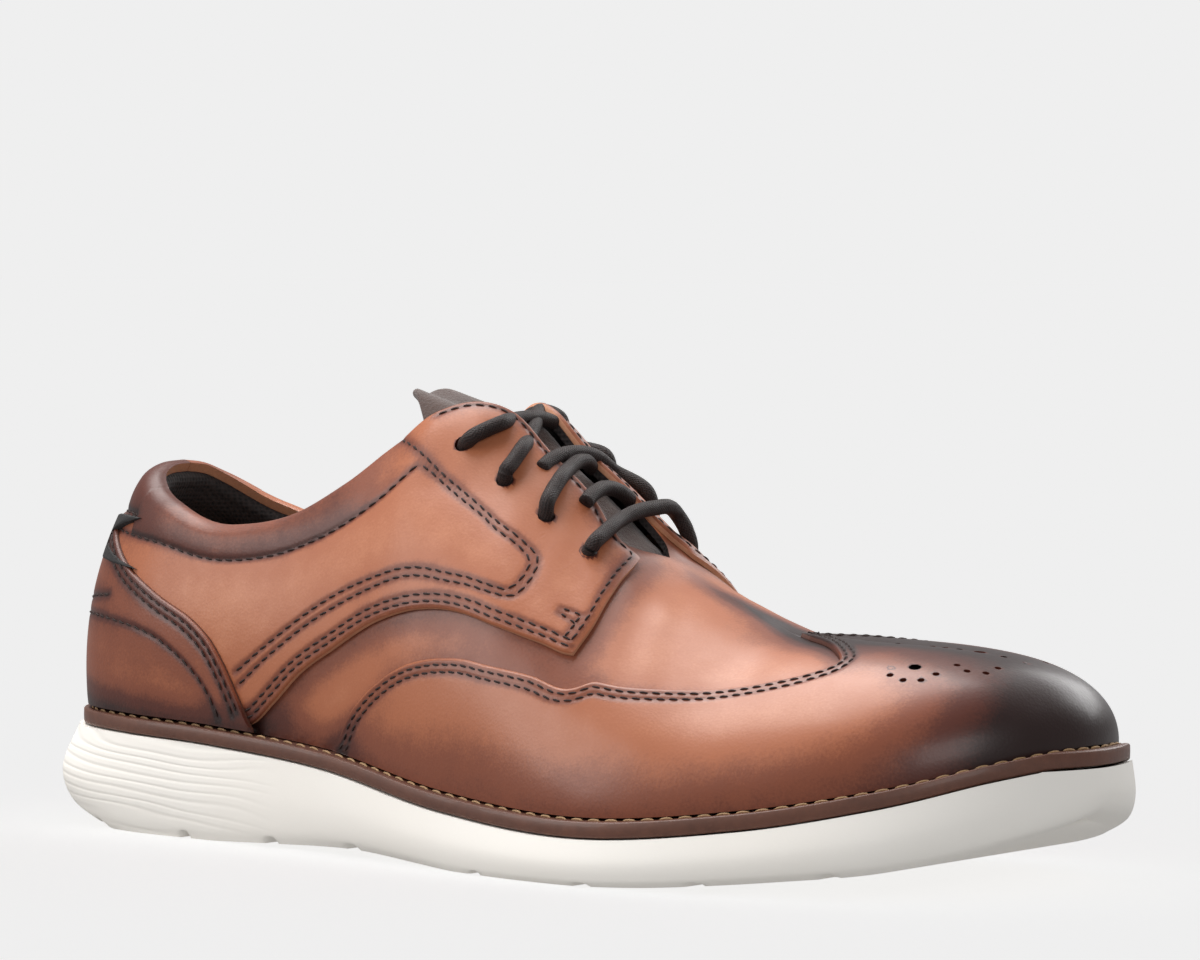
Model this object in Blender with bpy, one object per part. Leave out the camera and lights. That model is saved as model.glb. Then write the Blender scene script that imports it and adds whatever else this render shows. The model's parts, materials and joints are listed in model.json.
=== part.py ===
# A brogue shoe for the right foot, toe along +X and its outer side along -Y, standing on Z = 0.
# Every piece lies on two shared forms: the last's upper surface, and the outline of the sole.

import math

import bmesh
import bpy
import numpy as np
from mathutils import Vector

# Driving sizes, in metres
SOLE_LENGTH = 0.302
BALL_WIDTH = 0.092
BACK_HEIGHT = 0.092
HEEL_INSET = 0.0075
TOE_INSET = 0.0050
CROWN_OFFSET = 0.0030
CLEARANCE = 0.0003
RIM_LIFT = 0.20
ROW_BUNCHING = 1.15

UPPER_WALL = 0.0018
COLLAR_PAD = 0.0030
PANEL_THICKNESS = 0.0012
CAP_THICKNESS = 0.0012
COUNTER_THICKNESS = 0.0012
OVERLAY_GAP = 0.0006
QUARTER_GAP = 0.0008
COUNTER_GAP = 0.0007
BACK_SEAM_GAP = 0.0012
WELT_THICKNESS = 0.0040
WELT_REACH = 0.0045
WELT_SEAT = 0.0080
SOLE_FLARE = 0.0070
INSOLE_THICKNESS = 0.0030
INSOLE_MARGIN = 0.0012
TONGUE_THICKNESS = 0.0024
TONGUE_GAP = 0.0018
TONGUE_RISE = 0.0190
EYELET_DIAMETER = 0.0045
LACE_DIAMETER = 0.0040
LACE_GAP = 0.0014
LACE_EDGE = 0.97
TREAD_GROOVE_WIDTH = 0.0026
TREAD_GROOVE_DEPTH = 0.0018
TAB_WIDTH = 0.0060
TAB_THICKNESS = 0.0009

# How finely each form is divided
RING_COLUMNS = 35
UPPER_ROWS = 10
CAP_ROWS = 11
QUARTER_COLUMNS = 20
QUARTER_ROWS = 10
COUNTER_COLUMNS = 20
COUNTER_ROWS = 6
TONGUE_COLUMNS = 10
TONGUE_ROWS = 11
GIRTH_SAMPLES = 64
LACE_STEPS = 9

# Columns run from the middle of the heel back, 0, to the middle of the toe, 1, on each side.
# Widths are shares of BALL_WIDTH, heights of BACK_HEIGHT, and places along the shoe of SOLE_LENGTH.
FEATHER_COLUMNS = ("column", "outer", "inner", "height")
FEATHER = [
    (0.00, 0.000, 0.000, 0.327),
    (0.05, 0.125, 0.125, 0.326),
    (0.10, 0.230, 0.230, 0.323),
    (0.20, 0.330, 0.330, 0.316),
    (0.30, 0.370, 0.365, 0.303),
    (0.40, 0.420, 0.345, 0.268),
    (0.50, 0.520, 0.370, 0.194),
    (0.60, 0.585, 0.440, 0.165),
    (0.70, 0.505, 0.480, 0.204),
    (0.80, 0.370, 0.455, 0.271),
    (0.90, 0.150, 0.330, 0.339),
    (0.95, 0.015, 0.215, 0.356),
    (1.00, -0.095, 0.095, 0.363),
]
# The upper's top edge: collar to column 0.44, facings to the throat's end, then the middle of the vamp.
THROAT_END = 0.60
TOP_COLUMNS = ("column", "along", "outer", "inner", "outer_height", "inner_height")
TOP = [
    (0.00, 0.080, 0.000, 0.000, 1.010, 1.010),
    (0.05, 0.083, 0.082, 0.078, 1.005, 1.000),
    (0.10, 0.093, 0.158, 0.145, 0.985, 0.970),
    (0.20, 0.142, 0.255, 0.240, 0.910, 0.885),
    (0.30, 0.228, 0.293, 0.282, 0.850, 0.825),
    (0.36, 0.295, 0.283, 0.270, 0.890, 0.865),
    (0.41, 0.350, 0.250, 0.245, 0.990, 0.970),
    (0.44, 0.385, 0.217, 0.215, 1.065, 1.050),
    (0.47, 0.418, 0.168, 0.168, 1.160, 1.150),
    (0.49, 0.445, 0.120, 0.120, 1.185, 1.180),
    (0.51, 0.470, 0.076, 0.090, 1.155, 1.155),
    (0.53, 0.500, 0.068, 0.085, 1.065, 1.065),
    (0.56, 0.545, 0.074, 0.090, 0.950, 0.950),
    (0.585, 0.585, 0.076, 0.092, 0.830, 0.830),
    (0.60, 0.603, -0.033, 0.033, 0.795, 0.795),
    (0.65, 0.632, -0.033, 0.033, 0.740, 0.740),
    (0.75, 0.673, -0.033, 0.033, 0.685, 0.685),
    (1.00, 0.731, -0.033, 0.033, 0.600, 0.600),
]
# The middle of the upper seen from the side, from the instep to the toe.
CROWN_COLUMNS = ("along", "height")
CROWN = [
    (0.470, 1.155),
    (0.500, 1.065),
    (0.545, 0.960),
    (0.575, 0.840),
    (0.603, 0.795),
    (0.632, 0.740),
    (0.665, 0.695),
    (0.695, 0.650),
    (0.730, 0.604),
    (0.780, 0.588),
    (0.860, 0.582),
    (0.930, 0.580),
    (1.000, 0.575),
]
# How round each column of the upper is, from the feather edge to the top.
ROUNDNESS_COLUMNS = ("column", "end_angle", "side_power", "top_power", "bulge")
ROUNDNESS = [
    (0.00, 30, 2.0, 2.0, 0.014),
    (0.10, 30, 2.0, 2.0, 0.018),
    (0.20, 32, 2.0, 2.0, 0.024),
    (0.30, 36, 2.0, 2.0, 0.018),
    (0.40, 46, 2.0, 2.0, 0.020),
    (0.47, 62, 2.0, 2.0, 0.020),
    (0.53, 72, 2.0, 1.9, 0.020),
    (0.60, 90, 2.0, 1.8, 0.015),
    (0.65, 90, 2.0, 1.8, 0.012),
    (0.70, 90, 2.2, 1.85, 0.010),
    (0.80, 90, 2.9, 2.1, 0.008),
    (0.90, 90, 4.2, 2.2, 0.005),
    (1.00, 90, 5.2, 2.2, 0.000),
]
# The sole's side: how far it stands out at its top, middle and bottom, and the height of its bottom.
SIDEWALL_COLUMNS = ("column", "top", "middle", "bottom", "ground")
SIDEWALL = [
    (0.00, 0.60, 0.98, -0.60, 0.060),
    (0.06, 0.62, 0.98, -0.40, 0.048),
    (0.12, 0.66, 0.96, 0.10, 0.022),
    (0.18, 0.68, 0.95, 0.45, 0.000),
    (0.30, 0.68, 0.85, 0.55, 0.000),
    (0.36, 0.68, 0.80, 0.45, 0.010),
    (0.43, 0.68, 0.80, 0.30, 0.018),
    (0.48, 0.68, 0.85, 0.35, 0.006),
    (0.51, 0.70, 0.90, 0.55, 0.000),
    (0.60, 0.72, 0.95, 0.60, 0.000),
    (0.64, 0.72, 0.95, 0.58, 0.007),
    (0.69, 0.72, 0.95, 0.52, 0.024),
    (0.73, 0.72, 0.94, 0.46, 0.040),
    (0.79, 0.72, 0.92, 0.36, 0.064),
    (0.85, 0.72, 0.88, 0.18, 0.102),
    (0.90, 0.72, 0.85, 0.00, 0.135),
    (1.00, 0.72, 0.80, -0.50, 0.185),
]
# Panel edges on the upper: a column, and a share of the way from the feather edge to the top.
CAP_START = 0.405
CAP_EDGE_COLUMNS = ("column", "girth")
CAP_EDGE = [
    (0.405, 0.020),
    (0.412, 0.120),
    (0.422, 0.190),
    (0.437, 0.245),
    (0.455, 0.285),
    (0.475, 0.300),
    (0.510, 0.302),
    (0.550, 0.318),
    (0.607, 0.352),
    (0.686, 0.408),
    (0.750, 0.450),
    (0.800, 0.495),
    (0.830, 0.560),
    (0.850, 0.660),
    (0.880, 0.800),
    (0.925, 0.920),
    (1.000, 1.000),
]
QUARTER_LOW_COLUMNS = ("column", "girth")
QUARTER_LOW = [
    (0.000, 0.000),
    (0.325, 0.000),
    (0.342, 0.090),
    (0.362, 0.210),
    (0.400, 0.380),
    (0.435, 0.455),
    (0.465, 0.462),
    (0.498, 0.432),
    (0.535, 0.436),
    (0.585, 0.452),
]
QUARTER_FRONT_COLUMNS = ("girth", "column")
QUARTER_FRONT = [
    (0.440, 0.583),
    (0.660, 0.591),
    (0.850, 0.591),
    (1.000, 0.587),
]
COUNTER_TOP_COLUMNS = ("way", "column", "girth")
COUNTER_TOP = [
    (0.00, 0.000, 0.790),
    (0.22, 0.080, 0.750),
    (0.36, 0.140, 0.680),
    (0.48, 0.190, 0.620),
    (0.60, 0.245, 0.550),
    (0.70, 0.293, 0.500),
    (0.78, 0.312, 0.410),
    (0.86, 0.320, 0.300),
    (0.94, 0.328, 0.150),
    (1.00, 0.334, 0.030),
]
EYELET_COLUMNS = ("column", "girth")
EYELETS = [
    (0.490, 0.835),
    (0.517, 0.780),
    (0.543, 0.770),
    (0.569, 0.765),
]
# Where the tread grooves cross the sole, as shares of SOLE_LENGTH.
TREAD_GROOVES = (0.095, 0.205, 0.305, 0.400, 0.555, 0.665, 0.760, 0.860)
TONGUE_START = 0.63
TONGUE_TOP = 0.485
TONGUE_REACH = 0.70
# The tongue's free end: where it starts, how it narrows, and how far it leans back and up.
TONGUE_BODY = 0.72
TONGUE_NARROWING = 0.40
TONGUE_ROUNDING = 0.35
TONGUE_ARCH = 0.06
TONGUE_LEAN = (0.96, 0.28)
TAB_COLUMN = 0.150
TAB_GIRTHS = (0.66, 0.90)
# The collar's padded roll: the girths it swells between, and the columns it fades between.
PAD_GIRTHS = (0.78, 0.94)
COLLAR_END = (0.42, 0.46)

FINISHES = {
    "outsole": ((0.86, 0.83, 0.76), 0.65),
    "welt": ((0.10, 0.045, 0.03), 0.50),
    "insole": ((0.30, 0.14, 0.07), 0.60),
    "upper": ((0.36, 0.13, 0.055), 0.35),
    "wing_cap": ((0.09, 0.025, 0.018), 0.28),
    "heel_counter": ((0.20, 0.065, 0.03), 0.32),
    "quarter_outer": ((0.38, 0.14, 0.06), 0.35),
    "quarter_inner": ((0.38, 0.14, 0.06), 0.35),
    "tongue": ((0.055, 0.03, 0.022), 0.80),
    "laces": ((0.03, 0.016, 0.014), 0.55),
    "side_tab": ((0.012, 0.012, 0.014), 0.60),
}


def table(names, rows, column, at):
    """A smooth curve through one named column of a table, read at any places along its first."""
    xs = np.array([row[0] for row in rows], float)
    ys = np.array([row[names.index(column)] for row in rows], float)
    steps = np.diff(xs)
    slopes = np.diff(ys) / steps
    tangents = np.empty(len(xs))
    tangents[0], tangents[-1] = slopes[0], slopes[-1]
    tangents[1:-1] = (slopes[:-1] * steps[1:] + slopes[1:] * steps[:-1]) / (steps[:-1] + steps[1:])
    at = np.clip(np.asarray(at, float), xs[0], xs[-1])
    i = np.clip(np.searchsorted(xs, at, side="right") - 1, 0, len(steps) - 1)
    t = (at - xs[i]) / steps[i]
    start = (1 + 2 * t) * (1 - t) ** 2 * ys[i] + t * (1 - t) ** 2 * steps[i] * tangents[i]
    end = t * t * (3 - 2 * t) * ys[i + 1] - t * t * (1 - t) * steps[i] * tangents[i + 1]
    return start + end


def column_of(u):
    """u runs round the shoe from 0 at the heel, by the outer side, to 1 at the toe, and back to 2."""
    u = np.mod(u, 2)
    return np.where(u <= 1, u, 2 - u), np.where(u <= 1, -1.0, 1.0)


def feather(u):
    """The line where the upper meets the welt."""
    column, side = column_of(u)
    last_length = SOLE_LENGTH - HEEL_INSET - TOE_INSET
    along = HEEL_INSET + last_length * (1 - np.cos(np.pi * column)) / 2
    outer = table(FEATHER_COLUMNS, FEATHER, "outer", column)
    inner = table(FEATHER_COLUMNS, FEATHER, "inner", column)
    height = BACK_HEIGHT * table(FEATHER_COLUMNS, FEATHER, "height", column)
    return np.stack([along, side * BALL_WIDTH * np.where(side < 0, outer, inner), height], -1)


def outward(u):
    """The level direction that points out of the shoe at its feather line."""
    step = 0.004
    run = feather(u + step) - feather(u - step)
    normal = np.stack([run[..., 1], -run[..., 0], 0 * run[..., 0]], -1)
    return normal / np.linalg.norm(normal, axis=-1, keepdims=True)


def outline(u, grow, height):
    """The feather line moved out by grow, at a given height."""
    points = feather(u) + outward(u) * np.asarray(grow)[..., None]
    points[..., 2] = height
    return points


def deck(u, grow, lift):
    """The outline on the curved deck under the upper, which is level across the shoe."""
    points = outline(u, grow, 0)
    last_length = SOLE_LENGTH - HEEL_INSET - TOE_INSET
    way = np.clip((points[..., 0] - HEEL_INSET) / last_length, 0, 1)
    column = np.arccos(1 - 2 * way) / np.pi
    points[..., 2] = BACK_HEIGHT * table(FEATHER_COLUMNS, FEATHER, "height", column) + lift
    return points


def upper_point(u, v):
    """The last's surface: v runs from 0 at the feather line to 1 at the top, by length."""
    u, v = np.broadcast_arrays(np.asarray(u, float), np.asarray(v, float))
    shape = u.shape
    u, v = u.ravel(), v.ravel()
    column, side = column_of(u)
    end = np.radians(table(ROUNDNESS_COLUMNS, ROUNDNESS, "end_angle", column))[:, None]
    side_power = table(ROUNDNESS_COLUMNS, ROUNDNESS, "side_power", column)[:, None]
    top_power = table(ROUNDNESS_COLUMNS, ROUNDNESS, "top_power", column)[:, None]
    bulge = BALL_WIDTH * table(ROUNDNESS_COLUMNS, ROUNDNESS, "bulge", column)[:, None]
    share = np.linspace(0, 1, GIRTH_SAMPLES)[None, :]
    angle = (1 - (1 - share) ** (side_power / 2)) * end
    inward = 1 - np.clip(np.cos(angle), 0, 1) ** (2 / side_power)
    inward = inward / (1 - np.clip(np.cos(end), 0, 1) ** (2 / side_power))
    rise = (np.sin(angle) / np.sin(end)) ** (2 / top_power)
    low = feather(u)
    low[:, 2] += CLEARANCE
    outer = table(TOP_COLUMNS, TOP, "outer", column)
    inner = table(TOP_COLUMNS, TOP, "inner", column)
    outer_height = table(TOP_COLUMNS, TOP, "outer_height", column)
    inner_height = table(TOP_COLUMNS, TOP, "inner_height", column)
    top_side = side * BALL_WIDTH * np.where(side < 0, outer, inner)
    high = np.stack([
        SOLE_LENGTH * table(TOP_COLUMNS, TOP, "along", column),
        np.where(column < THROAT_END - 1e-6, top_side, CROWN_OFFSET),
        BACK_HEIGHT * np.where(side < 0, outer_height, inner_height),
    ], -1)
    points = low[:, None, :] + (high - low)[:, None, :] * np.stack([inward, inward, rise], -1)
    # Towards the toe the columns lean far forward, so their heights follow the crown below them.
    crown = BACK_HEIGHT * table(CROWN_COLUMNS, CROWN, "height", points[..., 0] / SOLE_LENGTH)
    crown_top = BACK_HEIGHT * table(CROWN_COLUMNS, CROWN, "height", high[:, None, 0] / SOLE_LENGTH)
    blend = np.clip((column - 0.50) / (THROAT_END - 0.50), 0, 1)[:, None]
    blend = blend * blend * (3 - 2 * blend)
    target = high[:, None, 2] + blend * (crown - crown_top)
    points[..., 2] = low[:, None, 2] + (target - low[:, None, 2]) * rise
    points += outward(u)[:, None, :] * (bulge * np.sin(np.pi * np.clip(rise, 0, 1)))[..., None]
    lengths = np.linalg.norm(np.diff(points, axis=1), axis=-1)
    run = np.concatenate([np.zeros((len(u), 1)), np.cumsum(lengths, 1)], 1)
    wanted = v * run[:, -1]
    i = np.clip((run <= wanted[:, None]).sum(1) - 1, 0, GIRTH_SAMPLES - 2)
    rows = np.arange(len(u))
    t = np.clip((wanted - run[rows, i]) / np.maximum(lengths[rows, i], 1e-12), 0, 1)[:, None]
    return (points[rows, i] * (1 - t) + points[rows, i + 1] * t).reshape(shape + (3,))


def upper_normal(u, v):
    """The outward normal of the last's surface, shared by both sides along the middle of the vamp."""
    step_u, step_v = 0.006, 0.012
    v = np.clip(v, 0, 1)
    u, v = np.broadcast_arrays(np.asarray(u, float), v)

    def one_side(way):
        below = np.minimum(v, 1 - step_v)
        across = upper_point(way + step_u, below) - upper_point(way - step_u, below)
        up = upper_point(way, np.minimum(v + step_v, 1)) - upper_point(way, np.maximum(v - step_v, 0))
        normal = np.cross(across, up)
        return normal / np.linalg.norm(normal, axis=-1, keepdims=True)

    column, _ = column_of(u)
    share = np.clip((v - 0.94) / 0.06, 0, 1) * np.clip((column - 0.585) / 0.015, 0, 1)
    normal = one_side(u) + one_side(2 - np.mod(u, 2)) * share[..., None]
    normal[..., 2] *= ease(0, 0.08, v)
    return normal / np.linalg.norm(normal, axis=-1, keepdims=True)


def on_upper(u, v, out):
    """A point that stands out from the last's surface by the distance out.

    What stands out at the feather line is lifted a little, because the welt rises past the toe."""
    out = np.asarray(out)
    points = upper_point(u, v) + upper_normal(u, v) * out[..., None]
    points[..., 2] += RIM_LIFT * np.maximum(out, 0) * (1 - ease(0, 0.05, v))
    return points


def sole_point(u, level):
    """The sole's side: level 0 is the ground, 1 the lower side, 2 the middle and 3 the top edge."""
    column, _ = column_of(u)
    ground = np.maximum(BACK_HEIGHT * table(SIDEWALL_COLUMNS, SIDEWALL, "ground", column), 0)
    share = {name: table(SIDEWALL_COLUMNS, SIDEWALL, name, column) for name in SIDEWALL_COLUMNS[1:4]}
    lower = share["bottom"] + (share["middle"] - share["bottom"]) * 0.75
    grows = [share["bottom"], lower, share["middle"], share["top"]]
    rises = [0, 0.16, 0.50, 1]
    points = deck(u, SOLE_FLARE * grows[level], -WELT_THICKNESS - CLEARANCE)
    points[..., 2] = ground + (points[..., 2] - ground) * rises[level]
    return points


def new_object(name, mesh):
    part = bpy.data.objects.new(name, mesh)
    bpy.context.scene.collection.objects.link(part)
    part.parent = shoe
    if name in FINISHES:
        colour, roughness = FINISHES[name]
        material = bpy.data.materials.new(name)
        material.use_nodes = True
        shader = material.node_tree.nodes["Principled BSDF"]
        shader.inputs["Base Color"].default_value = (*colour, 1)
        shader.inputs["Roughness"].default_value = roughness
        mesh.materials.append(material)
    else:
        part.hide_render = True
        part.display_type = "WIRE"
    return part


def slab(columns, rows, place, sewn=None):
    """A sheet with a thickness. place gives each point from its shares (a, b) and its layer, 0 or 1.

    The rim faces whose corners are all sewn are left out, and the sheet closes on itself there."""
    bm = bmesh.new()
    bmesh.ops.create_grid(bm, x_segments=columns, y_segments=rows, size=0.5)
    bmesh.ops.translate(bm, vec=(0.5, 0.5, 0), verts=bm.verts)
    copied = bmesh.ops.extrude_face_region(bm, geom=bm.faces[:])
    lifted = [item for item in copied["geom"] if isinstance(item, bmesh.types.BMVert)]
    bmesh.ops.translate(bm, vec=(0, 0, 1), verts=lifted)
    if sewn:
        rim = [face for face in bm.faces if len({round(v.co.z) for v in face.verts}) == 2]
        joined = [face for face in rim if all(sewn(v.co.x, v.co.y) for v in face.verts)]
        bmesh.ops.delete(bm, geom=joined, context="FACES_ONLY")
    shares = np.array([vert.co for vert in bm.verts])
    points = place(shares[:, 0], shares[:, 1], shares[:, 2])
    for vert, point in zip(bm.verts, points):
        vert.co = point
    bmesh.ops.remove_doubles(bm, verts=bm.verts, dist=0.00002)
    bmesh.ops.recalc_face_normals(bm, faces=bm.faces)
    mesh = bpy.data.meshes.new("slab")
    bm.to_mesh(mesh)
    bm.free()
    mesh.shade_smooth()
    mesh.set_sharp_from_angle(angle=math.radians(40))
    return mesh


def stack(rings):
    """A closed solid from rings of points that run round the shoe, capped straight across."""
    bm = bmesh.new()
    loops = [[bm.verts.new(point) for point in ring] for ring in rings]
    count = len(loops[0])
    for low, high in zip(loops, loops[1:]):
        for i in range(count):
            j = (i + 1) % count
            bm.faces.new((low[i], low[j], high[j], high[i]))
    for loop in (loops[0], loops[-1]):
        for i in range(count // 2):
            outer_pair = [loop[i], loop[i + 1]]
            inner_pair = [loop[(count - i - 1) % count], loop[(count - i) % count]]
            bm.faces.new(list(dict.fromkeys(outer_pair + inner_pair)))
    bmesh.ops.recalc_face_normals(bm, faces=bm.faces)
    mesh = bpy.data.meshes.new("stack")
    bm.to_mesh(mesh)
    bm.free()
    mesh.shade_smooth()
    mesh.set_sharp_from_angle(angle=math.radians(40))
    return mesh


def boolean(part, operation, other):
    cut = part.modifiers.new(operation.title(), "BOOLEAN")
    cut.operation = operation
    cut.solver = "EXACT"
    if isinstance(other, bpy.types.Collection):
        cut.operand_type = "COLLECTION"
        cut.collection = other
    else:
        cut.object = other


def ring_ways():
    """Each column's place round the shoe, from the heel back to the heel back."""
    return np.arange(2 * RING_COLUMNS) / RING_COLUMNS


def make_outsole():
    u = ring_ways()
    seat = -(WELT_SEAT + CLEARANCE) * np.ones(len(u))
    rings = [sole_point(u, level) for level in range(4)]
    rings += [deck(u, seat, -WELT_THICKNESS - CLEARANCE), deck(u, seat, 0)]
    outsole = new_object("outsole", stack(rings))
    bm = bmesh.new()
    for place in TREAD_GROOVES:
        made = bmesh.ops.create_cube(bm, size=1)
        size = (TREAD_GROOVE_WIDTH, 2 * BALL_WIDTH, 2 * TREAD_GROOVE_DEPTH)
        bmesh.ops.scale(bm, vec=size, verts=made["verts"])
        ground = ground_height(place)
        bmesh.ops.translate(bm, vec=(place * SOLE_LENGTH, 0, ground), verts=made["verts"])
    mesh = bpy.data.meshes.new("tread")
    bm.to_mesh(mesh)
    bm.free()
    boolean(outsole, "DIFFERENCE", new_object("tread_cutter", mesh))


def ground_height(place):
    """The height of the sole's bottom at a place along it."""
    u = np.linspace(0, 1, 200)
    points = sole_point(u, 0)
    return float(np.interp(place * SOLE_LENGTH, points[:, 0], points[:, 2]))


def make_welt():
    def place(a, b, layer):
        return deck(2 * a, WELT_REACH - b * (WELT_REACH + WELT_SEAT), (layer - 1) * WELT_THICKNESS)

    new_object("welt", slab(2 * RING_COLUMNS, 1, place, lambda a, b: a in (0, 1)))


def make_insole():
    u = ring_ways()
    inside = -(UPPER_WALL + INSOLE_MARGIN) * np.ones(len(u))
    rings = [deck(u, inside, CLEARANCE), deck(u, inside, CLEARANCE + INSOLE_THICKNESS)]
    new_object("insole", stack(rings))


def ease(low, high, value):
    t = np.clip((value - low) / (high - low), 0, 1)
    return t * t * (3 - 2 * t)


def wall(u, v):
    """The upper's thickness: leather and lining, with a padded roll along the collar."""
    column, _ = column_of(u)
    return UPPER_WALL + COLLAR_PAD * ease(*PAD_GIRTHS, v) * (1 - ease(*COLLAR_END, column))


def make_upper():
    def place(a, b, layer):
        u = 2 * a
        v = b ** ROW_BUNCHING
        return on_upper(u, v, -(1 - layer) * wall(u, v))

    def sewn(a, b):
        column, _ = column_of(2 * a)
        return a < 1e-4 or a > 1 - 1e-4 or (b > 1 - 1e-4 and column > THROAT_END - 1e-4)

    return new_object("upper", slab(2 * RING_COLUMNS, UPPER_ROWS, place, sewn))


def make_wing_cap():
    def place(a, b, layer):
        u = CAP_START + a * (2 - 2 * CAP_START)
        column, _ = column_of(u)
        v = b ** ROW_BUNCHING * table(CAP_EDGE_COLUMNS, CAP_EDGE, "girth", column)
        return on_upper(u, v, OVERLAY_GAP + layer * CAP_THICKNESS)

    columns = 2 * round(RING_COLUMNS * (1 - CAP_START))
    return new_object("wing_cap", slab(columns, CAP_ROWS, place))


def make_quarter(name, side):
    def place(a, b, layer):
        column = np.maximum(a * QUARTER_COLUMNS / RING_COLUMNS, BACK_SEAM_GAP)
        low = np.maximum(table(QUARTER_LOW_COLUMNS, QUARTER_LOW, "girth", column), 0)
        v = low + (1 - low) * b
        front = table(QUARTER_FRONT_COLUMNS, QUARTER_FRONT, "column", v)
        column = np.where(a > 1 - 1e-4, front, column)
        u = column if side < 0 else 2 - column
        return on_upper(u, v, QUARTER_GAP + layer * PANEL_THICKNESS)

    return new_object(name, slab(QUARTER_COLUMNS, QUARTER_ROWS, place))


def make_heel_counter():
    inner = QUARTER_GAP + PANEL_THICKNESS + COUNTER_GAP

    def place(a, b, layer):
        way = 2 * a - 1
        names = COUNTER_TOP_COLUMNS
        column = table(names, COUNTER_TOP, "column", np.abs(way))
        v = b * table(names, COUNTER_TOP, "girth", np.abs(way))
        return on_upper(np.sign(way) * column, v, inner + layer * COUNTER_THICKNESS)

    return new_object("heel_counter", slab(COUNTER_COLUMNS, COUNTER_ROWS, place))


def make_tongue():
    def section(column, across):
        """Across the tongue from the outer side, -1, to the inner side, 1, under the upper."""
        inset = -(UPPER_WALL + TONGUE_GAP)
        v_side = TONGUE_REACH
        knots = np.array([-1.0, -0.60, 0.60, 1.0])
        ways = [(column, v_side), (column, 0.96), (2 - column, 0.96), (2 - column, v_side)]
        stops = [on_upper(np.array([u]), np.array([v]), np.array([inset]))[0] for u, v in ways]
        middle = (stops[1] + stops[2]) / 2
        middle[2] += TONGUE_ARCH * np.linalg.norm(stops[1] - stops[2])
        rows = [(knots[0], *stops[0]), (knots[1], *stops[1]), (0.0, *middle),
                (knots[2], *stops[2]), (knots[3], *stops[3])]
        names = ("across", "x", "y", "z")
        return np.stack([table(names, rows, axis, across) for axis in names[1:]], -1)

    def centre_sheet(a, b):
        across = 2 * a - 1
        points = np.empty((len(a), 3))
        body = TONGUE_BODY
        for value in np.unique(b):
            chosen = b == value
            if value <= body:
                column = TONGUE_START + (TONGUE_TOP - TONGUE_START) * value / body
                points[chosen] = section(column, across[chosen])
                continue
            beyond = (value - body) / (1 - body)
            narrow = 1 - TONGUE_NARROWING * beyond ** 1.2
            base = section(TONGUE_TOP, across[chosen] * narrow)
            middle = section(TONGUE_TOP, np.array([0.0]))[0]
            base[:, 1] = middle[1] + (base[:, 1] - middle[1]) * (1 - TONGUE_ROUNDING * beyond ** 3)
            rise = TONGUE_RISE * beyond * (1 - 0.25 * (across[chosen] * narrow) ** 2)
            base[:, 0] -= TONGUE_LEAN[0] * rise
            base[:, 2] += TONGUE_LEAN[1] * rise
            points[chosen] = base
        return points

    def place(a, b, layer):
        a, b = np.round(a, 6), np.round(b, 6)
        step = 0.02
        sheet = centre_sheet(a, b)
        across = centre_sheet(np.minimum(a + step, 1), b) - centre_sheet(np.maximum(a - step, 0), b)
        along = centre_sheet(a, np.minimum(b + step, 1)) - centre_sheet(a, np.maximum(b - step, 0))
        normal = np.cross(across, along)
        normal /= np.linalg.norm(normal, axis=-1, keepdims=True)
        down = np.where(normal[:, 2:] > 0, -normal, normal)
        return sheet + down * ((1 - layer) * TONGUE_THICKNESS)[:, None]

    return new_object("tongue", slab(TONGUE_COLUMNS, TONGUE_ROWS, place))


def eyelet_place(index, side):
    column, v = EYELETS[index]
    return (column if side < 0 else 2 - column), v


def make_eyelet_cutter():
    bm = bmesh.new()
    for index in range(len(EYELETS)):
        for side in (-1, 1):
            u, v = (np.array([value]) for value in eyelet_place(index, side))
            centre, normal = upper_point(u, v)[0], upper_normal(u, v)[0]
            depth = 8 * (UPPER_WALL + PANEL_THICKNESS)
            radius = EYELET_DIAMETER / 2
            made = bmesh.ops.create_cone(bm, cap_ends=True, segments=10, radius1=radius,
                                         radius2=radius, depth=depth)
            turn = Vector((0, 0, 1)).rotation_difference(Vector(normal)).to_matrix()
            bmesh.ops.rotate(bm, cent=(0, 0, 0), matrix=turn, verts=made["verts"])
            bmesh.ops.translate(bm, vec=centre, verts=made["verts"])
    mesh = bpy.data.meshes.new("eyelets")
    bm.to_mesh(mesh)
    bm.free()
    return new_object("eyelet_cutter", mesh)


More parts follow.
